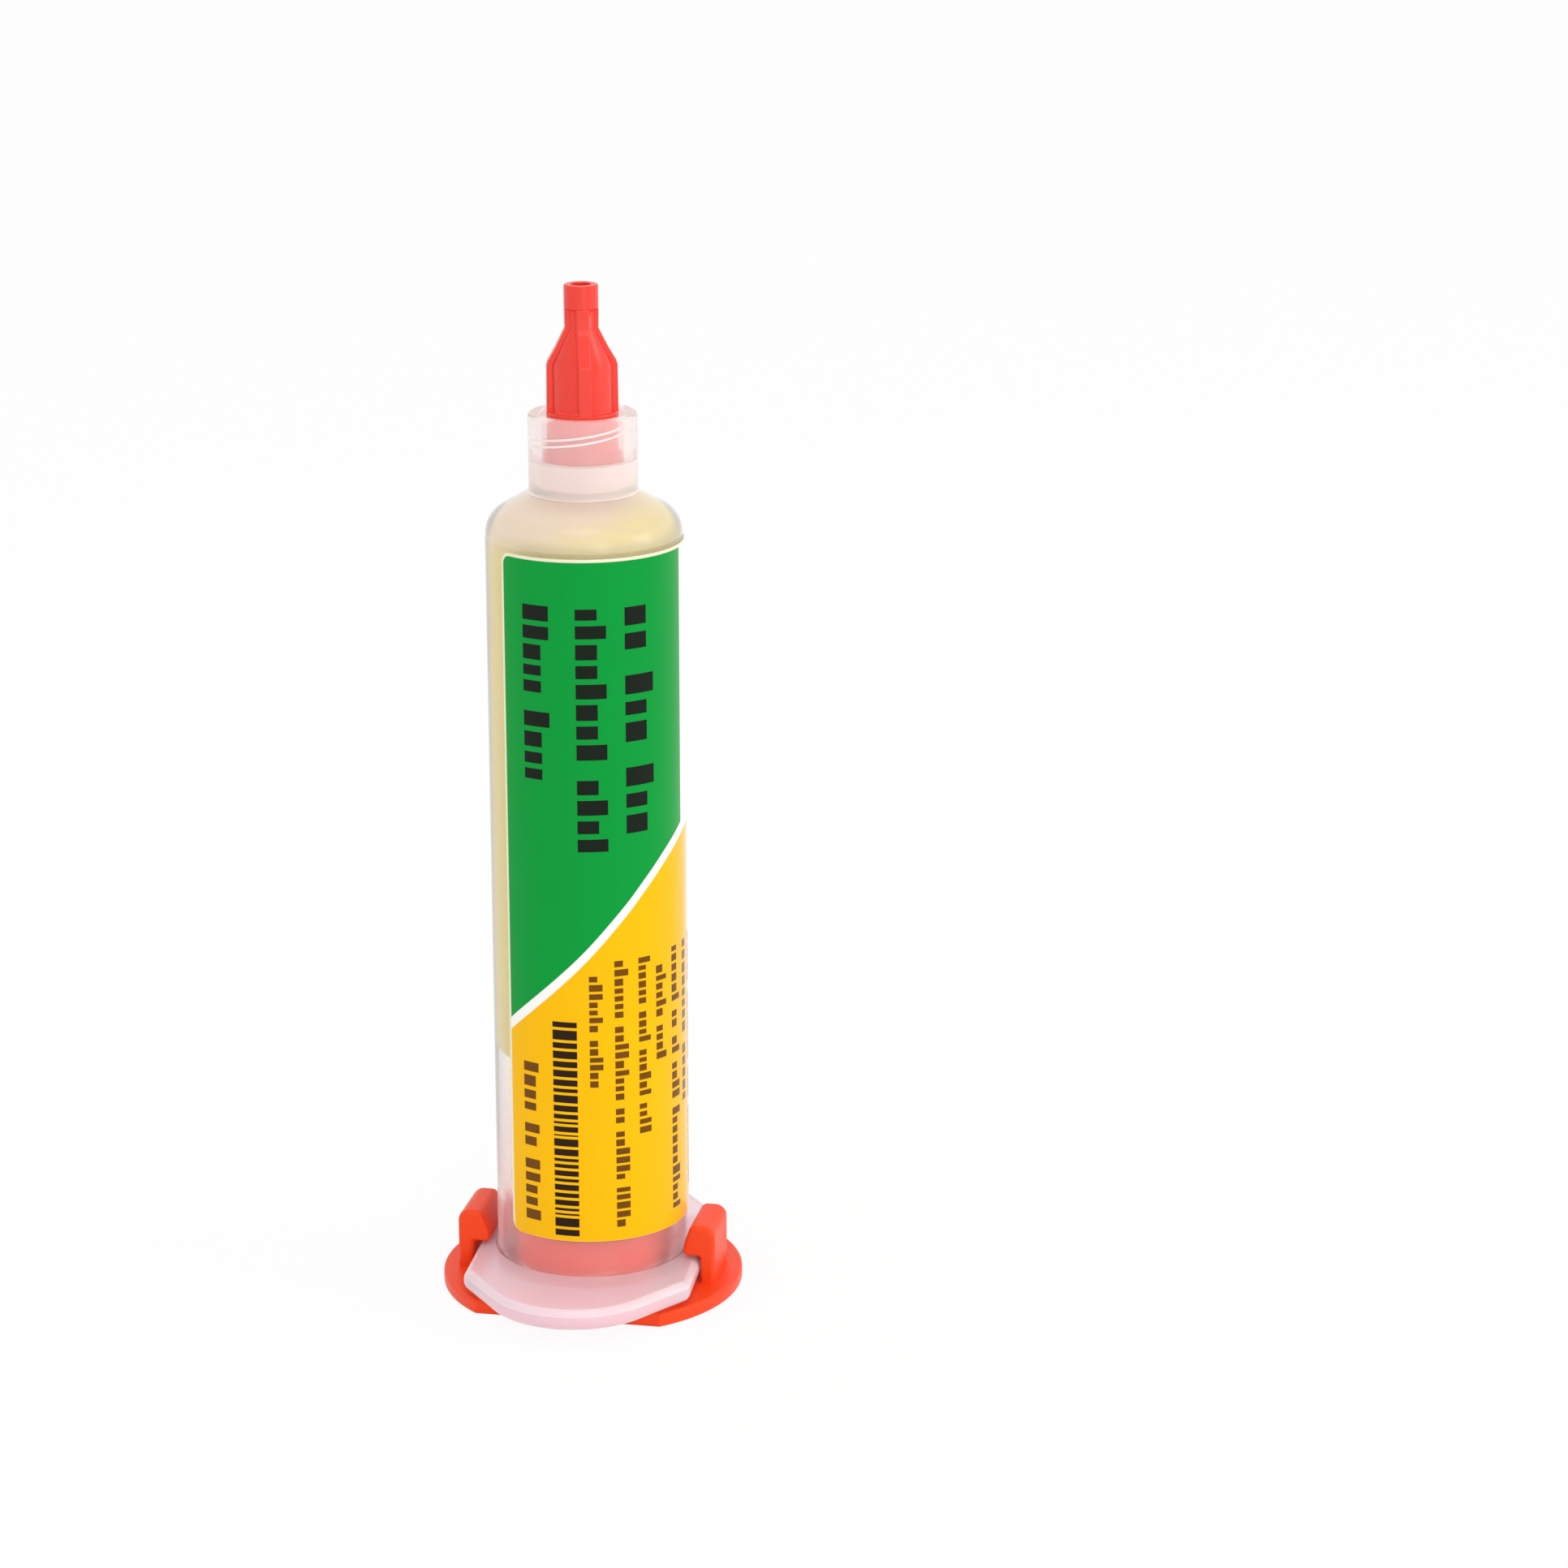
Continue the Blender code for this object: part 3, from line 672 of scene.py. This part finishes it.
def makePaste():
    p = paste
    material, tree, group = mouldedPlastic("flux paste", p["colour"], p)
    tree.links.new(pasteColour(tree), group.inputs["Color"])
    column = spun("flux_column", [(0, p["top"]), (p["radius"], p["top"]), (p["radius"], p["bottom"]),
                                  (0, p["bottom"])], p["steps"])
    smooth(column)
    column = makePiece(column, "flux_column", "barrel", material, "flux_paste")
    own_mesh(column)
    inset = barrel["radius"] - p["radius"]
    tip = slopeHeight(p["noseRadius"], inset)
    line = [(0, p["top"]), (p["radius"], p["top"])] + list(reversed(shoulderLine(inset)))
    nose = spun("flux_nose", line + [(p["noseRadius"], tip), (0, tip)], p["steps"])
    smooth(nose)
    makePiece(nose, "flux_nose", "barrel", material)


makePaste()
print("stage: paste")


# Piston

piston = {
    "steps": 144,
    "top": 25.394, "bottom": 11.394, "lip": 7.94, "lipHeight": 1.6, "groove": 0.45,
    "wall": 1.3, "face": 2.2,
    "faceEdge": (0.15, 0.1), "lipTip": 0.06, "lipRound": 0.3, "backRound": 0.2,
    "colour": srgb(240, 207, 204),
    "finish": {"Mottle": 0.05, "Mottle Size": 5.0, "Roughness": 0.42, "Roughness Change": 0.1},
    "bump": 0.04, "sockets": {},
}


def makePiston():
    p = piston
    body = p["lip"] - p["groove"]
    hollow = body - p["wall"]
    hollowTop = p["top"] - p["face"]
    inward, down = p["faceEdge"]
    turn, back = p["lipRound"], p["backRound"]
    profile = [(0, p["top"]), (body - inward, p["top"]), (body, p["top"] - down),
               (p["lip"] - p["lipTip"], p["top"] - p["groove"])]
    profile += arc((p["lip"] - turn, p["top"] - p["groove"] - turn), turn, math.pi / 3, 0.0, 4)
    profile += [(p["lip"], p["top"] - p["lipHeight"]),
                (body, p["top"] - p["lipHeight"] - p["groove"]),
                (body, p["bottom"] + p["lipHeight"] + p["groove"]),
                (p["lip"], p["bottom"] + p["lipHeight"])]
    profile += arc((p["lip"] - back, p["bottom"] + back), back, 0.0, -math.pi / 2, 4)
    profile += [(hollow, p["bottom"]), (hollow, hollowTop - p["wall"])]
    profile += arc((hollow - p["wall"], hollowTop - p["wall"]), p["wall"], 0.0, math.pi / 2, 8)[1:]
    profile.append((0, hollowTop))
    made = spun("piston_body", profile, p["steps"])
    smooth(made)
    material, _, _ = mouldedPlastic("piston plastic", p["colour"], p)
    makePiece(made, "piston_body", "piston", material, "piston")


makePiston()
print("stage: piston")


# End cap

endCap = {
    "steps": 144,
    "thickness": 1.5, "radius": 15.6, "flat": 12.2, "edge": 0.35,
    "hookWidth": 7.1, "hookInner": 12.1, "hookPost": 1.55, "hookTip": 10.3,
    "lip": 4.4, "lipHeight": 1.0, "hookHead": 3.35, "hookLead": 0.8, "hookCrown": 1.2,
    "hookEdge": 0.5,
    "plugRadius": 7.7, "plugTop": 7.6, "plugWall": 1.25, "plugLead": 0.7,
    "inside": 0.7,           # height in the plate where plug and hooks start
    "recessEdge": 0.4, "recessStart": -1.0,
    "turn": -0.6 * math.atan(0.6 / 7.1),     # within the hooks' play: share, play and hook's width
    "colour": srgb(240, 68, 20),
    "finish": {"Mottle": 0.05, "Mottle Size": 7.0, "Roughness": 0.4, "Roughness Change": 0.12},
    "bump": 0.06, "sockets": {"IOR": 1.32},
}


def plateOutline():
    e = endCap
    corner = math.asin(e["flat"] / e["radius"])
    half = arc((0, 0), e["radius"], e["turn"] - corner, e["turn"] + corner, 72)
    return half + [(-x, -y) for x, y in half]


def hookOutline():
    # side view: upright, lip over the flange and sloped lead-in
    e = endCap
    outer, top = e["hookInner"] + e["hookPost"], e["lip"] + e["hookHead"]
    outline = [(e["hookInner"], e["inside"]), (e["hookInner"], e["lip"]), (e["hookTip"], e["lip"]),
               (e["hookTip"], e["lip"] + e["lipHeight"]), (e["hookTip"] + e["hookLead"], top)]
    outline += arc((outer - e["hookCrown"], top - e["hookCrown"]), e["hookCrown"], math.pi / 2, 0.0, 8)
    return outline + [(outer, e["inside"])]


def makeEndCap():
    e = endCap
    cap = plate("end_cap_body", plateOutline(), 0.0, e["thickness"])
    roundEdges(cap, e["edge"], 4)
    inner, roof = e["plugRadius"] - e["plugWall"], e["plugTop"] - e["plugWall"]
    plug = spun("plug", [
        (0, e["inside"]), (e["plugRadius"], e["inside"]), (e["plugRadius"], e["plugTop"] - e["plugLead"]),
        (e["plugRadius"] - e["plugLead"], e["plugTop"]), (0, e["plugTop"])], e["steps"])
    recess = spun("recess", [
        (0, e["recessStart"]), (inner, e["recessStart"]), (inner, roof - e["recessEdge"]),
        (inner - e["recessEdge"], roof), (0, roof)], e["steps"])
    combine(cap, plug)
    combine(cap, recess, "DIFFERENCE")
    stand = Matrix.Rotation(math.pi / 2, 4, "X")
    for name, facing in (("right hook", 0.0), ("left hook", math.pi)):
        hook = plate(name, hookOutline(), -e["hookWidth"] / 2, e["hookWidth"])
        hook.data.transform(Matrix.Rotation(e["turn"] + facing, 4, "Z") @ stand)
        roundEdges(hook, e["hookEdge"], 4, 30)
        settle(hook)
        combine(cap, hook)
    settle(cap)
    smooth(cap)
    material, _, _ = mouldedPlastic("end cap plastic", e["colour"], e)
    makePiece(cap, "end_cap_body", "barrel", material, "end_cap")


makeEndCap()
print("stage: end cap")


# Tip cap

tipCap = {
    "steps": 128,
    "top": 105.0, "stemRadius": 1.72, "stemLength": 2.3, "holeRadius": 1.0, "holeDepth": 1.5,
    "bottom": 87.4, "radius": 3.56, "core": 1.4, "hub": 3.05,
    "flareTop": 4.4, "flareEnd": 7.9,
    "holeEdge": 0.1, "stemEdge": 0.18, "skirtEdge": 0.15,
    "ribCount": 4, "ribThickness": 1.3, "ribTurn": 15.0, "ribEdge": 0.16,
    "ribRoot": 0.4, "ribSlope": 0.65,        # where it starts in the core, and its drop to the skirt
    "ribShape": [(1.69, 2.3), (1.66, 4.3), (2.10, 5.2), (2.60, 6.2), (3.40, 7.6), (3.52, 8.0),
                 (3.56, 12.6)],          # radius and height under the stem's top
    "lugRadius": 3.95, "lugWidth": 4.4, "lugHeight": 0.9, "lugSpan": 9.0,
    "socketTop": 94.6, "socketMouth": 2.27, "socketBottom": 86.5, "socketLow": 2.504,
    "colour": srgb(232, 54, 38),
    "finish": {"Mottle": 0.05, "Mottle Size": 4.0, "Roughness": 0.28, "Roughness Change": 0.12},
    "bump": 0.06, "sockets": {"IOR": 1.48},
}


def capProfile():
    t = tipCap
    top, skirt = t["top"], t["top"] - t["ribShape"][-1][1]
    half = math.pi / 2
    stem, edge = t["stemEdge"], t["skirtEdge"]
    profile = [(0, top - t["holeDepth"]), (t["holeRadius"], top - t["holeDepth"]),
               (t["holeRadius"], top - t["holeEdge"]), (t["holeRadius"] + t["holeEdge"], top)]
    profile += arc((t["stemRadius"] - stem, top - stem), stem, half, 0.0, 4)
    profile += [(t["stemRadius"], top - t["stemLength"]),
                (t["core"], top - t["stemLength"] - (t["stemRadius"] - t["core"])),
                (t["core"], top - t["flareTop"]), (t["hub"], top - t["flareEnd"]),
                (t["hub"], skirt + edge), (t["hub"] + edge, skirt)]
    profile += arc((t["radius"] - edge, skirt - edge), edge, half, 0.0, 3)
    profile += arc((t["radius"] - edge, t["bottom"] + edge), edge, 0.0, -half, 3)
    profile.append((0, t["bottom"]))
    return profile


def ribOutline():
    # one rib, from inside the core out to its edge
    t = tipCap
    side = [(r, t["top"] - drop) for r, drop in t["ribShape"]]
    side.append((side[-1][0], side[-1][1] - t["ribSlope"]))
    return [(t["ribRoot"], side[0][1])] + side + [(t["ribRoot"], side[-1][1])]


def makeRibTree():
    # one rib repeated round the axis and joined into the core
    tree, given, out = newMeshTree("cap ribs", [("Count", "Int", 4), ("Turn", "Float", 0.0)])
    points = addNode(tree, "GeometryNodeMeshCircle", {"Vertices": given["Count"], "Radius": 0.0})
    each = calc(tree, "MULTIPLY", addNode(tree, "GeometryNodeInputIndex").outputs[0],
                calc(tree, "DIVIDE", 2 * math.pi, given["Count"]))
    turn = addNode(tree, "ShaderNodeCombineXYZ", {"Z": calc(tree, "ADD", each, given["Turn"])})
    ribs = addNode(tree, "GeometryNodeInstanceOnPoints", {
        "Points": points.outputs[0], "Instance": given["Geometry"], "Rotation": turn.outputs[0]})
    return endTree(tree, given, out, ribs.outputs[0])


def makeTipCap():
    t = tipCap
    material, _, _ = mouldedPlastic("tip cap plastic", t["colour"], t)
    rib = plate("rib", ribOutline(), -t["ribThickness"] / 2, t["ribThickness"])
    roundEdges(rib, t["ribEdge"], 3, 50)
    settle(rib)
    rib.data.transform(Matrix.Rotation(math.pi / 2, 4, "X"))
    ribMesh = rib.data
    bpy.data.objects.remove(rib)
    ribs = runTree("ribs", makeRibTree(), {
        "Count": t["ribCount"], "Turn": math.radians(t["ribTurn"]), "Material": material}, ribMesh)
    cap = spun("tip_cap_body", capProfile(), t["steps"])
    combine(cap, ribs)
    cap.modifiers[-1].use_self = True
    lugTop, side, span = t["bottom"] + t["lugHeight"], t["lugWidth"] / 2, t["lugSpan"]
    lugs = spun("lugs", [(0, t["bottom"]), (t["lugRadius"], t["bottom"]), (t["lugRadius"], lugTop),
                         (0, lugTop)], t["steps"])
    bar = plate("lug bar", [(-span, -side), (span, -side), (span, side), (-span, side)],
                t["bottom"] - 1, t["lugHeight"] + 2)
    combine(lugs, bar, "INTERSECT")
    settle(lugs)
    combine(cap, lugs)
    socket = spun("socket", [(0, t["socketTop"]), (t["socketMouth"], t["socketTop"]),
                             (t["socketLow"], t["socketBottom"]), (0, t["socketBottom"])], t["steps"])
    combine(cap, socket, "DIFFERENCE")
    settle(cap)
    smooth(cap)
    makePiece(cap, "tip_cap_body", "tip_cap", material, "tip_cap")


makeTipCap()
print("stage: tip cap")


# Label

label = {
    "radius": 9.93, "thickness": 0.12, "azimuth": -44.2, "wrap": 50.0,
    "bottom": 7.9, "height": 71.6, "corner": 1.2, "cornerSteps": 8, "columns": 120,
    "margin": 0.3,                      # bare film round the print
    "greenEnd": 21.35,                  # from the label's left edge
    "stripeWidth": 1.25,                # measured along the barrel
    "stripe": [(0.0, 30.1), (7.25, 36.7), (13.17, 43.15), (16.08, 46.25), (19.24, 48.9),
               (22.46, 50.6), (26.0, 51.3), (50.0, 51.6)],      # from the left edge, and height
    "fieldBlur": 0.05, "marginBlur": 0.04,
    "green": srgb(0, 150, 56), "yellow": srgb(246, 186, 0), "white": srgb(246, 246, 244),
    "film": srgb(236, 232, 205),
    "density": {"Speckle": 0.04, "Cloud": 0.06},
    "bump": 0.12, "depth": 0.0002, "sockets": {"IOR": 1.19, "Sheen Weight": 0.8, "Sheen Roughness": 0.3},
    "smooth": 30,
}

marks = {
    "inset": 0.01, "thickness": 0.028,
    "letters": {"Tall Odds": 0.34, "Narrow": 0.5, "Wide": 0.85, "Gap": 0.3},
    "wordGap": 0.75,                    # in blocks
    "seeds": {"bold": 11, "fine": 71}, "seedStep": 13,
    "bold": [               # azimuths, heights, blocks in each word, share of the height
        ((33.0, 51.6), (50.5, 74.5), (2, 3, 3), 0.74),
        ((4.5, 22.0), (49.0, 74.5), (8, 4), 0.7),
        ((-27.5, -11.0), (56.3, 74.7), (5, 4), 0.7),
    ],
    "fine": [
        ((-32.0, -21.5), (9.3, 26.8), (4, 2, 5), 0.8),
        ((9.8, 17.6), (24.4, 36.5), (7, 6), 0.62),
        ((24.6, 33.0), (9.1, 38.0), (7, 9, 2, 6, 5), 0.62),
        ((39.6, 47.7), (18.9, 38.0), (6, 4, 6, 4), 0.62),
        ((52.1, 60.4), (26.4, 36.7), (6, 4), 0.62),
        ((66.0, 74.6), (9.4, 38.1), (6, 2, 2, 4, 11), 0.62),
        ((79.6, 88.0), (20.4, 38.1), (8, 5), 0.62),
        ((93.0, 101.5), (10.4, 38.1), (5, 7, 3, 8), 0.62),
        ((106.5, 115.0), (14.4, 38.1), (9, 4, 6), 0.62),
    ],
    "barPlace": ((-12.0, 2.5), (8.5, 31.6)),
    "bars": {"Count": 27, "Low Share": 1.0, "Tall Odds": 1.0, "Narrow": 0.12, "Wide": 1.5, "Gap": 0.45,
             "Seed": 5},
    "inks": {"bold": srgb(20, 28, 20), "fine": srgb(112, 68, 8), "bar": srgb(44, 26, 12)},
    "density": {"Speckle": 0.3, "Cloud": 0.2}, "speckleScale": 4200.0, "cloudScale": 110.0,
}


def along(azimuth):
    # distance round the barrel from the label's left edge
    return math.radians(azimuth - label["azimuth"]) * label["radius"]


def makeWrapTree():
    # flat film, x round the barrel and y up it, gets its thickness and is wrapped on the barrel
    tree, given, out = newMeshTree("wrap round the barrel", [
        ("Radius", "Float", 10.0), ("Thickness", "Float", 0.1), ("Roll Radius", "Float", 10.0),
        ("Azimuth", "Float", 0.0), ("Width", "Float", 50.0), ("Bottom", "Float", 0.0),
        ("Height", "Float", 70.0)])
    pulled = addNode(tree, "GeometryNodeExtrudeMesh", {
        "Mesh": given["Geometry"], "Offset Scale": given["Thickness"], "Individual": False})
    under = addNode(tree, "GeometryNodeFlipFaces", {"Mesh": given["Geometry"]})
    both = addNode(tree, "GeometryNodeJoinGeometry")
    tree.links.new(pulled.outputs[0], both.inputs[0])
    tree.links.new(under.outputs[0], both.inputs[0])
    closed = addNode(tree, "GeometryNodeMergeByDistance", {"Geometry": both.outputs[0], "Distance": 1e-4})
    place = addNode(tree, "ShaderNodeSeparateXYZ",
                    {0: addNode(tree, "GeometryNodeInputPosition").outputs[0]}).outputs
    across = calc(tree, "DIVIDE", place["X"], given["Width"])
    up = calc(tree, "DIVIDE", calc(tree, "SUBTRACT", place["Y"], given["Bottom"]), given["Height"])
    uv = addNode(tree, "ShaderNodeCombineXYZ", {"X": across, "Y": up})
    mapped = addNode(tree, "GeometryNodeStoreNamedAttribute", {
        "Name": "UVMap", "Geometry": closed.outputs[0], "Value": uv.outputs[0]},
        data_type="FLOAT2", domain="CORNER")
    angle = calc(tree, "ADD", given["Azimuth"], calc(tree, "DIVIDE", place["X"], given["Roll Radius"]))
    reach = calc(tree, "ADD", given["Radius"], place["Z"])
    wrapped = addNode(tree, "ShaderNodeCombineXYZ", {
        "X": calc(tree, "MULTIPLY", reach, calc(tree, "SINE", angle)),
        "Y": calc(tree, "MULTIPLY", calc(tree, "MULTIPLY", reach, -1.0), calc(tree, "COSINE", angle)),
        "Z": place["Y"]})
    rolled = addNode(tree, "GeometryNodeSetPosition", {"Geometry": mapped.outputs[0],
                                                       "Position": wrapped.outputs[0]})
    return endTree(tree, given, out, rolled.outputs[0])


def makeRowTree():
    # a row of blocks that runs down from the origin, standing towards +X, with seeded widths
    tree, given, out = newMeshTree("row of blocks", [
        ("Count", "Int", 5), ("Run", "Float", 10.0), ("Tall", "Float", 2.0), ("Low Share", "Float", 0.7),
        ("Tall Odds", "Float", 0.3), ("Narrow", "Float", 0.6), ("Wide", "Float", 1.0),
        ("Gap", "Float", 0.3), ("Seed", "Int", 1)])
    line = addNode(tree, "GeometryNodeMeshLine", {"Count": given["Count"], "Offset": (0.0, 0.0, 0.0)})
    width = addNode(tree, "FunctionNodeRandomValue", {
        2: given["Narrow"], 3: given["Wide"], "Seed": given["Seed"]}, data_type="FLOAT")
    pick = addNode(tree, "FunctionNodeRandomValue", {
        "Probability": given["Tall Odds"], "Seed": calc(tree, "ADD", given["Seed"], 7.0)},
        data_type="BOOLEAN")
    step = calc(tree, "ADD", width.outputs[1], given["Gap"])
    sums = addNode(tree, "GeometryNodeAccumulateField", {0: step}).outputs
    stretch = calc(tree, "DIVIDE", given["Run"], calc(tree, "SUBTRACT", sums["Total"], given["Gap"]))
    middle = calc(tree, "ADD", sums["Trailing"], calc(tree, "MULTIPLY", width.outputs[1], 0.5))
    down = calc(tree, "MULTIPLY", calc(tree, "MULTIPLY", middle, stretch), -1.0)
    share = addNode(tree, "ShaderNodeMapRange", {"Value": pick.outputs[3], "To Min": given["Low Share"],
                                                 "To Max": 1.0}).outputs[0]
    tall = calc(tree, "MULTIPLY", given["Tall"], share)
    spot = addNode(tree, "ShaderNodeCombineXYZ", {"X": calc(tree, "MULTIPLY", tall, 0.5), "Y": down})
    spread = addNode(tree, "GeometryNodeSetPosition", {"Geometry": line.outputs[0],
                                                       "Position": spot.outputs[0]})
    block = addNode(tree, "GeometryNodeMeshGrid", {"Size X": 1.0, "Size Y": 1.0, "Vertices X": 7,
                                                   "Vertices Y": 2})
    size = addNode(tree, "ShaderNodeCombineXYZ", {
        "X": tall, "Y": calc(tree, "MULTIPLY", width.outputs[1], stretch), "Z": 1.0})
    blocks = addNode(tree, "GeometryNodeInstanceOnPoints", {
        "Points": spread.outputs[0], "Instance": block.outputs[0], "Scale": size.outputs[0]})
    return endTree(tree, given, out, blocks.outputs[0])


def flatFilm():
    # the label laid flat, with its rounded corners
    b = label
    steps = b["cornerSteps"]
    corner = [b["corner"] * (1 - math.cos(math.pi / 2 * i / steps)) for i in range(steps + 1)]
    inner = b["wrap"] - 2 * b["corner"]
    places = corner + [b["corner"] + inner * i / b["columns"] for i in range(1, b["columns"])]
    places += [b["wrap"] - d for d in reversed(corner)]
    shape = bmesh.new()
    columns = []
    for x in places:
        near = min(x, b["wrap"] - x)
        drop = 0.0
        if near < b["corner"]:
            drop = b["corner"] - math.sqrt(b["corner"] ** 2 - (b["corner"] - near) ** 2)
        columns.append([shape.verts.new((x, y, 0.0)) for y in
                        (b["bottom"] + drop, b["bottom"] + b["height"] - drop)])
    for left, right in zip(columns, columns[1:]):
        shape.faces.new((left[0], right[0], right[1], left[1]))
    return meshFrom(shape, "flat film")


def makeInkFinish():
    # thin print: fine speckle and soft density change, by place on the object
    tree, given, out = newFinish("print density", [
        ("Speckle", "Float", 0.05), ("Cloud", "Float", 0.05), ("Roughness", "Float", 0.08),
        ("Roughness Change", "Float", 0.06)])
    place = addNode(tree, "ShaderNodeTexCoord").outputs["Object"]
    speckle = noise(tree, place, marks["speckleScale"], 2.0)
    cloud = noise(tree, place, marks["cloudScale"], 3.0)
    change = calc(tree, "ADD", around(tree, speckle, given["Speckle"]), around(tree, cloud, given["Cloud"]))
    sway = calc(tree, "MULTIPLY", cloud, given["Roughness Change"])
    return endFinish(tree, given, out, change, sway, cloud)


inkFinish = makeInkFinish()


def addPrint(tree, shader, colour, density):
    addFinish(tree, shader, inkFinish, {"Color": colour, **density}, label, label["depth"])


def labelMaterial():
    # green, white stripe and yellow fields, laid out on the label's own map
    b = label
    material, tree, shader = newMaterial("printed label film")
    uv = addNode(tree, "ShaderNodeUVMap", uv_map="UVMap").outputs[0]
    flat = addNode(tree, "ShaderNodeSeparateXYZ", {0: uv}).outputs
    across = calc(tree, "MULTIPLY", flat["X"], b["wrap"])
    curve = addNode(tree, "ShaderNodeFloatCurve", {"Factor": 1.0, "Value": flat["X"]})
    points = curve.mapping.curves[0].points
    stops = [(x / b["wrap"], (z - b["bottom"]) / b["height"]) for x, z in b["stripe"]]
    points[0].location, points[1].location = stops[0], stops[-1]
    for stop in stops[1:-1]:
        points.new(*stop)
    curve.mapping.update()
    over = calc(tree, "MULTIPLY", calc(tree, "SUBTRACT", flat["Y"], curve.outputs[0]), b["height"])
    half, blur = b["stripeWidth"] / 2, b["fieldBlur"]
    yellow = edgeMask(tree, calc(tree, "ADD", over, half), blur)
    green = edgeMask(tree, calc(tree, "SUBTRACT", half, over), blur)
    left = edgeMask(tree, calc(tree, "SUBTRACT", across, b["greenEnd"]), blur)
    colour = mixColour(tree, calc(tree, "MULTIPLY", green, left), b["white"], b["green"])
    colour = mixColour(tree, yellow, colour, b["yellow"])
    low = (b["margin"], 0.0)
    high = (b["wrap"] - b["margin"], b["height"] - b["margin"])
    radius = b["corner"] - b["margin"]
    centre = ((low[0] + high[0]) / 2, (low[1] + high[1]) / 2, 0.0)
    reach = ((high[0] - low[0]) / 2 - radius, (high[1] - low[1]) / 2 - radius, 0.0)
    size = vectorCalc(tree, "MULTIPLY", uv, (b["wrap"], b["height"], 0.0))[0]
    offset = vectorCalc(tree, "ABSOLUTE", vectorCalc(tree, "SUBTRACT", size, centre)[0])[0]
    offset = vectorCalc(tree, "MAXIMUM", vectorCalc(tree, "SUBTRACT", offset, reach)[0], (0, 0, 0))[0]
    length = vectorCalc(tree, "LENGTH", offset)["Value"]
    panel = edgeMask(tree, calc(tree, "SUBTRACT", length, radius), b["marginBlur"])
    colour = mixColour(tree, panel, b["film"], colour)
    addPrint(tree, shader, colour, b["density"])
    return material


def wrapInputs(inset, thickness, material):
    b = label
    return {"Radius": b["radius"] + inset, "Thickness": thickness, "Roll Radius": b["radius"],
            "Azimuth": math.radians(b["azimuth"]), "Width": b["wrap"], "Bottom": b["bottom"],
            "Height": b["height"], "Material": material}


def wordRow(tree, row, seed, parts):
    azimuths, heights, words, share = row
    pitch = (heights[1] - heights[0]) / (sum(words) + marks["wordGap"] * (len(words) - 1))
    top = heights[1]
    left, right = along(azimuths[0]), along(azimuths[1])
    for index, count in enumerate(words):
        run = count * pitch
        block = runTree("block row", tree, {
            **marks["letters"], "Count": count, "Run": run - marks["letters"]["Gap"] * pitch,
            "Tall": right - left, "Low Share": share, "Seed": seed + index})
        parts.append((block, (left, top, 0.0)))
        top -= run + marks["wordGap"] * pitch


def makePrint(kind, parts, wrap):
    # flat blocks, wrapped on the film
    material, tree, shader = newMaterial(kind + " ink")
    addPrint(tree, shader, marks["inks"][kind], marks["density"])
    outside = label["thickness"] - marks["inset"]
    made = runTree(kind + "_print", wrap, wrapInputs(outside, marks["thickness"], material),
                   joinMeshes(parts, kind))
    smooth(made, label["smooth"])
    makePiece(made, kind + "_print", "barrel", material)


def makeLabel():
    wrap, row = makeWrapTree(), makeRowTree()
    film = runTree("label_film", wrap, wrapInputs(0.0, label["thickness"], None), flatFilm())
    smooth(film, label["smooth"])
    makePiece(film, "label_film", "barrel", labelMaterial(), "label")
    for kind, seed in marks["seeds"].items():
        parts = []
        for index, line in enumerate(marks[kind]):
            wordRow(row, line, seed + marks["seedStep"] * index, parts)
        makePrint(kind, parts, wrap)
    azimuths, heights = marks["barPlace"]
    left, right = along(azimuths[0]), along(azimuths[1])
    bars = runTree("bars", row, {**marks["bars"], "Run": heights[1] - heights[0], "Tall": right - left})
    makePrint("bar", [(bars, (left, heights[1], 0.0))], wrap)


makeLabel()
print("stage: label")


print("stage: done")
